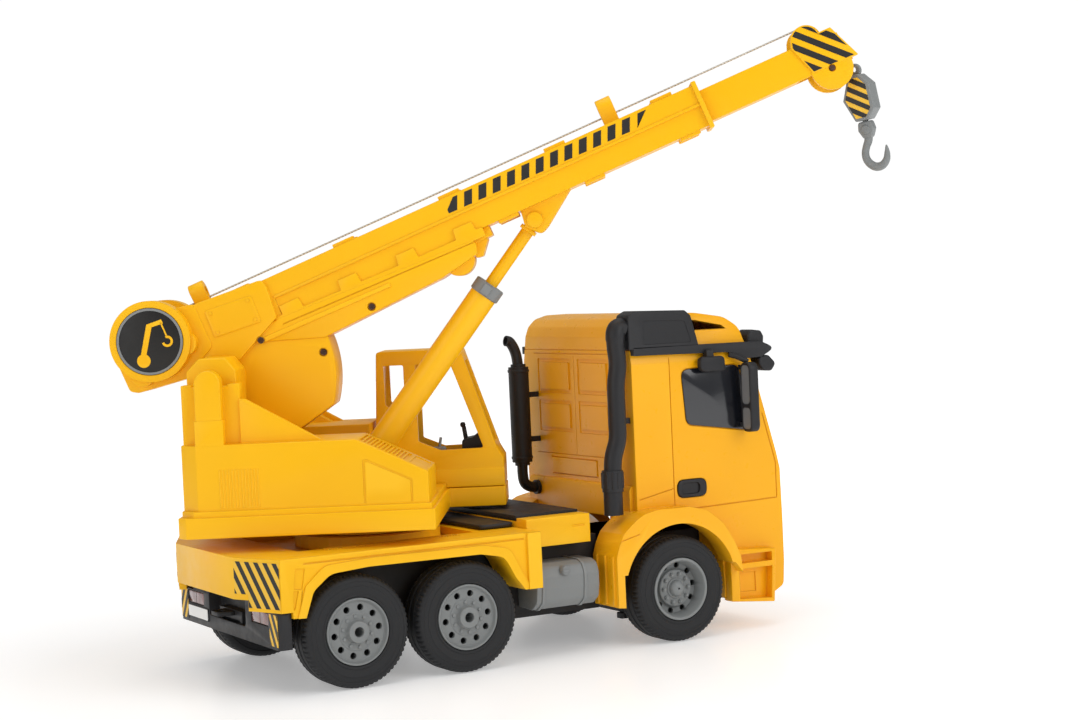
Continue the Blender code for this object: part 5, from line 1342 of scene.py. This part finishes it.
def cylinder(mats):
    ob = rod((3.0, 0, 0), (128.0, 0, 0), 3.5, 40)
    ob = fuse(ob, bevel(prism(circle(0, 0, 6.0, 40), -4.8, 4.8, "Y"), 0.5, 2))
    flange = rounded([(-5.6, -4.6), (5.6, -4.6), (5.6, 4.6), (-5.6, 4.6)], 1.5, 3)
    ob = fuse(ob, bevel(prism(flange, 5.2, 7.4, "X"), 0.3, 2))
    ob = carve(ob, rod((0, -7, 0), (0, 7, 0), 2.6, 24))
    emit(ob, "cylinder_rod_bar", CYLINDER, "cylinder_rod", mats["yellow"], ["cylinder_rod"])
    foot = CYLINDER_LENGTH
    ob = lathe([(3.8, 48.5), (7.45, 48.5), (7.45, foot - 6.0), (6.8, foot - 5.0), (1.0, foot - 5.0),
                (1.0, foot - 14),
                (3.8, foot - 14)], (0, 0, 0), "X", 56)
    ob = fuse(ob, prism(circle(foot - 4, 0, 4.5, 28), -4.0, 4.0, "Y"))
    emit(ob, "cylinder_tube_barrel", CYLINDER, "cylinder_tube", mats["yellow"], ["cylinder_tube"])
    ring = lathe([(3.9, 41.5), (7.8, 41.5), (8.3, 42.0), (8.3, 48.1), (7.8, 48.6), (3.9, 48.6)],
                 (0, 0, 0), "X", 56)
    ring = fuse(ring, box(42.3, 47.8, -9.2, -7.6, -2.4, 2.4))
    emit(ring, "cylinder_collar_ring", CYLINDER, "cylinder_tube", mats["grey"], ["cylinder_collar"])


# ---------------------------------------------------------------- rope and hook

ROPE_RADIUS = 0.52


def ropes(mats):
    """Hoist rope along the boom, over the head and down to the block."""
    n = TOP_PIN[1] + 8.2 - 1.9 + ROPE_RADIUS + 0.5
    path = [(DRUM[0] + 4.5, 0.0, DRUM[1] + 6.3), (-14.0, 0.0, 43.6), (2.0, 0.0, n)]
    for k in range(1, 61):
        path.append((2.0 + (TOP_PIN[0] - 2.0) * k / 60.0, 0.0, n))
    ob = sweep(path, ROPE_RADIUS, 10)
    shade(ob, 60)
    ob.name = "hoist_rope_run"
    ob.data.transform(BOOM)
    ob.data.materials.append(mats["cord"])
    start = BOOM @ Vector((12.0 * MM, 0, n * MM))
    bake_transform(ob)
    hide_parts("hoist_rope_base", "hoist_rope_head")
    top = n - TOP_PIN[1]
    wrap = []
    for k in range(9):
        a = math.radians(90 - 100 * k / 8)
        wrap.append((TOP_PIN[0] + top * math.cos(a), 0, TOP_PIN[1] + top * math.sin(a)))
    groove = HEAD_WHEEL - 1.9 + ROPE_RADIUS
    for k in range(15):
        a = math.radians(62 - 84 * k / 14)
        wrap.append((HEAD_PIN[0] + groove * math.cos(a), 0, HEAD_PIN[1] + groove * math.sin(a)))
    emit(sweep(wrap, ROPE_RADIUS, 10), "hoist_rope_wrap", BOOM, "boom_head", mats["cord"], (), 60)
    eye = Vector((BLOCK_EYE[0] - 0.9, 0, BLOCK_EYE[1] + 3.3))
    lead = [(groove * math.cos(math.radians(a)), 0, groove * math.sin(math.radians(a))) for a in (74,
            64, 54, 45)]
    lead.append(tuple(Vector(lead[-1]).lerp(eye, 0.5)))
    emit(sweep(lead, ROPE_RADIUS, 10), "hoist_rope_lead", LINE, "hook_line", mats["cord"],
         ["hoist_rope_drop"], 60)
    start = Vector(lead[-1])
    fall = [tuple(start.lerp(eye, k / 9.0)) for k in range(10)]
    ob = sweep(fall, ROPE_RADIUS, 10)
    shade(ob, 60)
    ob.name = "hoist_rope_fall"
    ob.data.transform(LINE)
    ob.data.materials.append(mats["cord"])
    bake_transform(ob)


def hook_block(mats):
    shape = [(-1.8, -2.4), (3.2, -2.4), (8.2, -8.4), (8.2, -21.9), (3.6, -26.9), (-3.6, -26.9),
             (-8.2, -14.9), (-4.4, -6.2)]
    ob = bevel(prism(rounded(shape, 1.0, 3), -5.0, 5.0, "Y"), 0.7, 3)
    ob = fuse(ob, bevel(prism(circle(0, 0, 3.6, 32), -1.6, 1.6, "Y"), 0.5, 2))
    ob = carve(ob, rod((0, -3, 0.4), (0, 3, 0.4), 1.5, 24))
    ob = carve(ob, rod((0, 0, -29.4), (0, 0, -23.9), 1.9, 24))
    emit(ob, "hook_block_body", BLOCK, "hook_block", mats["grey"], ["hook_block"])
    face = [(-1.4, -4.2), (2.6, -4.2), (6.2, -8.8), (6.2, -21.2), (2.8, -25.4), (-2.8, -25.4),
            (-6.6, -14.8), (-3.2, -6.8)]
    plates = []
    bars = []
    for s in (-1, 1):
        plates.append(prism(rounded(face, 0.6, 2), *span(s, 4.9, 5.15), "Y"))
        bars.append(stripes(rounded(face, 0.6, 2), *span(s, 5.05, 5.3), "Y", -1.45, 4.4, 4.0, 34, 1.0))
    emit(joined(*plates), "hook_block_plates", BLOCK, "hook_block", mats["stripe"])
    emit(joined(*bars), "hook_block_stripes", BLOCK, "hook_block", mats["paint"])


def hook(mats):
    ob = rod((0, 0, -24.4), (0, 0, -28.0), 1.5, 24)
    shank = rounded([(-3.6, -27.4), (3.6, -27.4), (4.4, -31.9), (2.2, -36.4), (-2.2, -36.4),
                     (-4.4, -31.9)], 1.6, 4)
    ob = fuse(ob, bevel(prism(shank, -2.6, 2.6, "Y"), 0.7, 3))
    ob = fuse(ob, bevel(prism(circle(0, -31.8, 2.5, 28), -3.1, 3.1, "Y"), 0.4, 2))
    path = spline([(0, 0, -33.4), (-0.6, 0, -37.4), (-2.4, 0, -40.4), (-3.8, 0, -43.6),
                   (-3.9, 0, -47.0), (-2.2, 0, -50.2),
                   (0.8, 0, -52.2), (4.2, 0, -52.0), (7.0, 0, -49.6), (8.2, 0, -46.0), (8.6, 0,
                           -42.0)], 4)
    key = [2.3, 2.2, 2.0, 2.0, 2.1, 2.2, 2.3, 2.2, 1.9, 1.5, 0.35]
    radii = []
    for i in range(len(path)):
        t = i / 4.0
        k = min(int(t), 9)
        radii.append(key[k] + (key[k + 1] - key[k]) * (t - k))
    ob = fuse(ob, sweep(path, radii, 20))
    emit(ob, "hook_body", BLOCK, "hook", mats["grey"], ["hook"], 45)


# ---------------------------------------------------------------- stage

def stage():
    """Pale floor that glows more away from the slewing axis (painted light), plain background and the
    three softboxes.
    """
    ob = box(-FLOOR_HALF, FLOOR_HALF, -FLOOR_HALF, FLOOR_HALF, -30.0, 0.0)
    ob.data.transform(TRUCK)
    ob.name = "studio_floor"
    mat, tree, shader = surface("studio_floor", "floor")
    coords = object_coords(tree)
    tone = noise(tree, coords, 3.0, 2.0)
    tree.links.new(blend_colour(tree, tone, (0.86, 0.86, 0.86, 1), (0.90, 0.90, 0.90, 1)),
                   shader.inputs["Base Color"])
    shader.inputs["Roughness"].default_value = 0.3
    shader.inputs["Specular IOR Level"].default_value = 0.3
    # Painted light: the floor glows white, at 0.30 near the slewing axis rising to 0.75 beyond 0.65 m,
    # so the far floor reads white although the lamps' light falls off there.
    shader.inputs["Emission Color"].default_value = (1.0, 1.0, 1.0, 1.0)
    glow_distance = tree.nodes.new("ShaderNodeVectorMath")
    glow_distance.operation = "LENGTH"
    tree.links.new(coords, glow_distance.inputs[0])
    tree.links.new(ramp(tree, glow_distance.outputs["Value"], 0.18, 0.65, 0.30, 0.75),
                   shader.inputs["Emission Strength"])
    ob.data.materials.append(mat)
    world = bpy.data.worlds.new("studio")
    bpy.context.scene.world = world
    world.use_nodes = True
    back = world.node_tree.nodes["Background"]
    back.inputs["Color"].default_value = (1.0, 1.0, 1.0, 1.0)
    path = world.node_tree.nodes.new("ShaderNodeLightPath")
    level = ramp(world.node_tree, path.outputs["Is Camera Ray"], 0.0, 1.0, 0.40, 1.02)
    world.node_tree.links.new(level, back.inputs["Strength"])
    for softbox in SOFTBOXES:
        soft_light(*softbox)


def soft_light(name, place, target, size, power):
    light = bpy.data.lights.new(name, "AREA")
    light.shape = "SQUARE"
    light.size = size
    light.energy = power
    ob = bpy.data.objects.new(name, light)
    bpy.context.scene.collection.objects.link(ob)
    ob.location = place
    aim = Vector(target) - Vector(place)
    ob.rotation_euler = aim.to_track_quat("-Z", "Y").to_euler()


def camera():
    """Low camera off the rear right corner of the truck."""
    az, el, roll = (math.radians(degrees) for degrees in CAMERA_TURN)
    back = Vector((math.sin(az) * math.cos(el), -math.cos(az) * math.cos(el), math.sin(el)))
    right = Vector((math.cos(az), math.sin(az), 0.0))
    up = back.cross(right)
    side = right * math.cos(roll) + up * math.sin(roll)
    top = up * math.cos(roll) - right * math.sin(roll)
    data = bpy.data.cameras.new("camera")
    data.sensor_width = SENSOR_WIDTH
    data.lens = FOCAL_LENGTH
    data.clip_start = 0.05
    ob = bpy.data.objects.new("camera", data)
    bpy.context.scene.collection.objects.link(ob)
    place = Matrix((side, top, back)).transposed().to_4x4()
    x, y, z = CAMERA_PLACE
    place.translation = Vector((x - SLEW_X, y, z - FLOOR_HEIGHT)) * MM
    ob.matrix_world = place
    bpy.context.scene.camera = ob


def main():
    """Builds every piece."""
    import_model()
    mats = make_materials()
    wheels(mats)
    deck(mats)
    bridge(mats)
    bumper(mats)
    tanks(mats)
    cab(mats)
    cab_glass(mats)
    cab_dress(mats)
    upper_deck(mats)
    operator_cab(mats)
    boom_base(mats)
    boom_marks(mats)
    winch(mats)
    boom_head(mats)
    cylinder(mats)
    ropes(mats)
    hook_block(mats)
    hook(mats)
    stage()
    camera()
    bpy.context.scene.view_settings.view_transform = "Standard"


main()
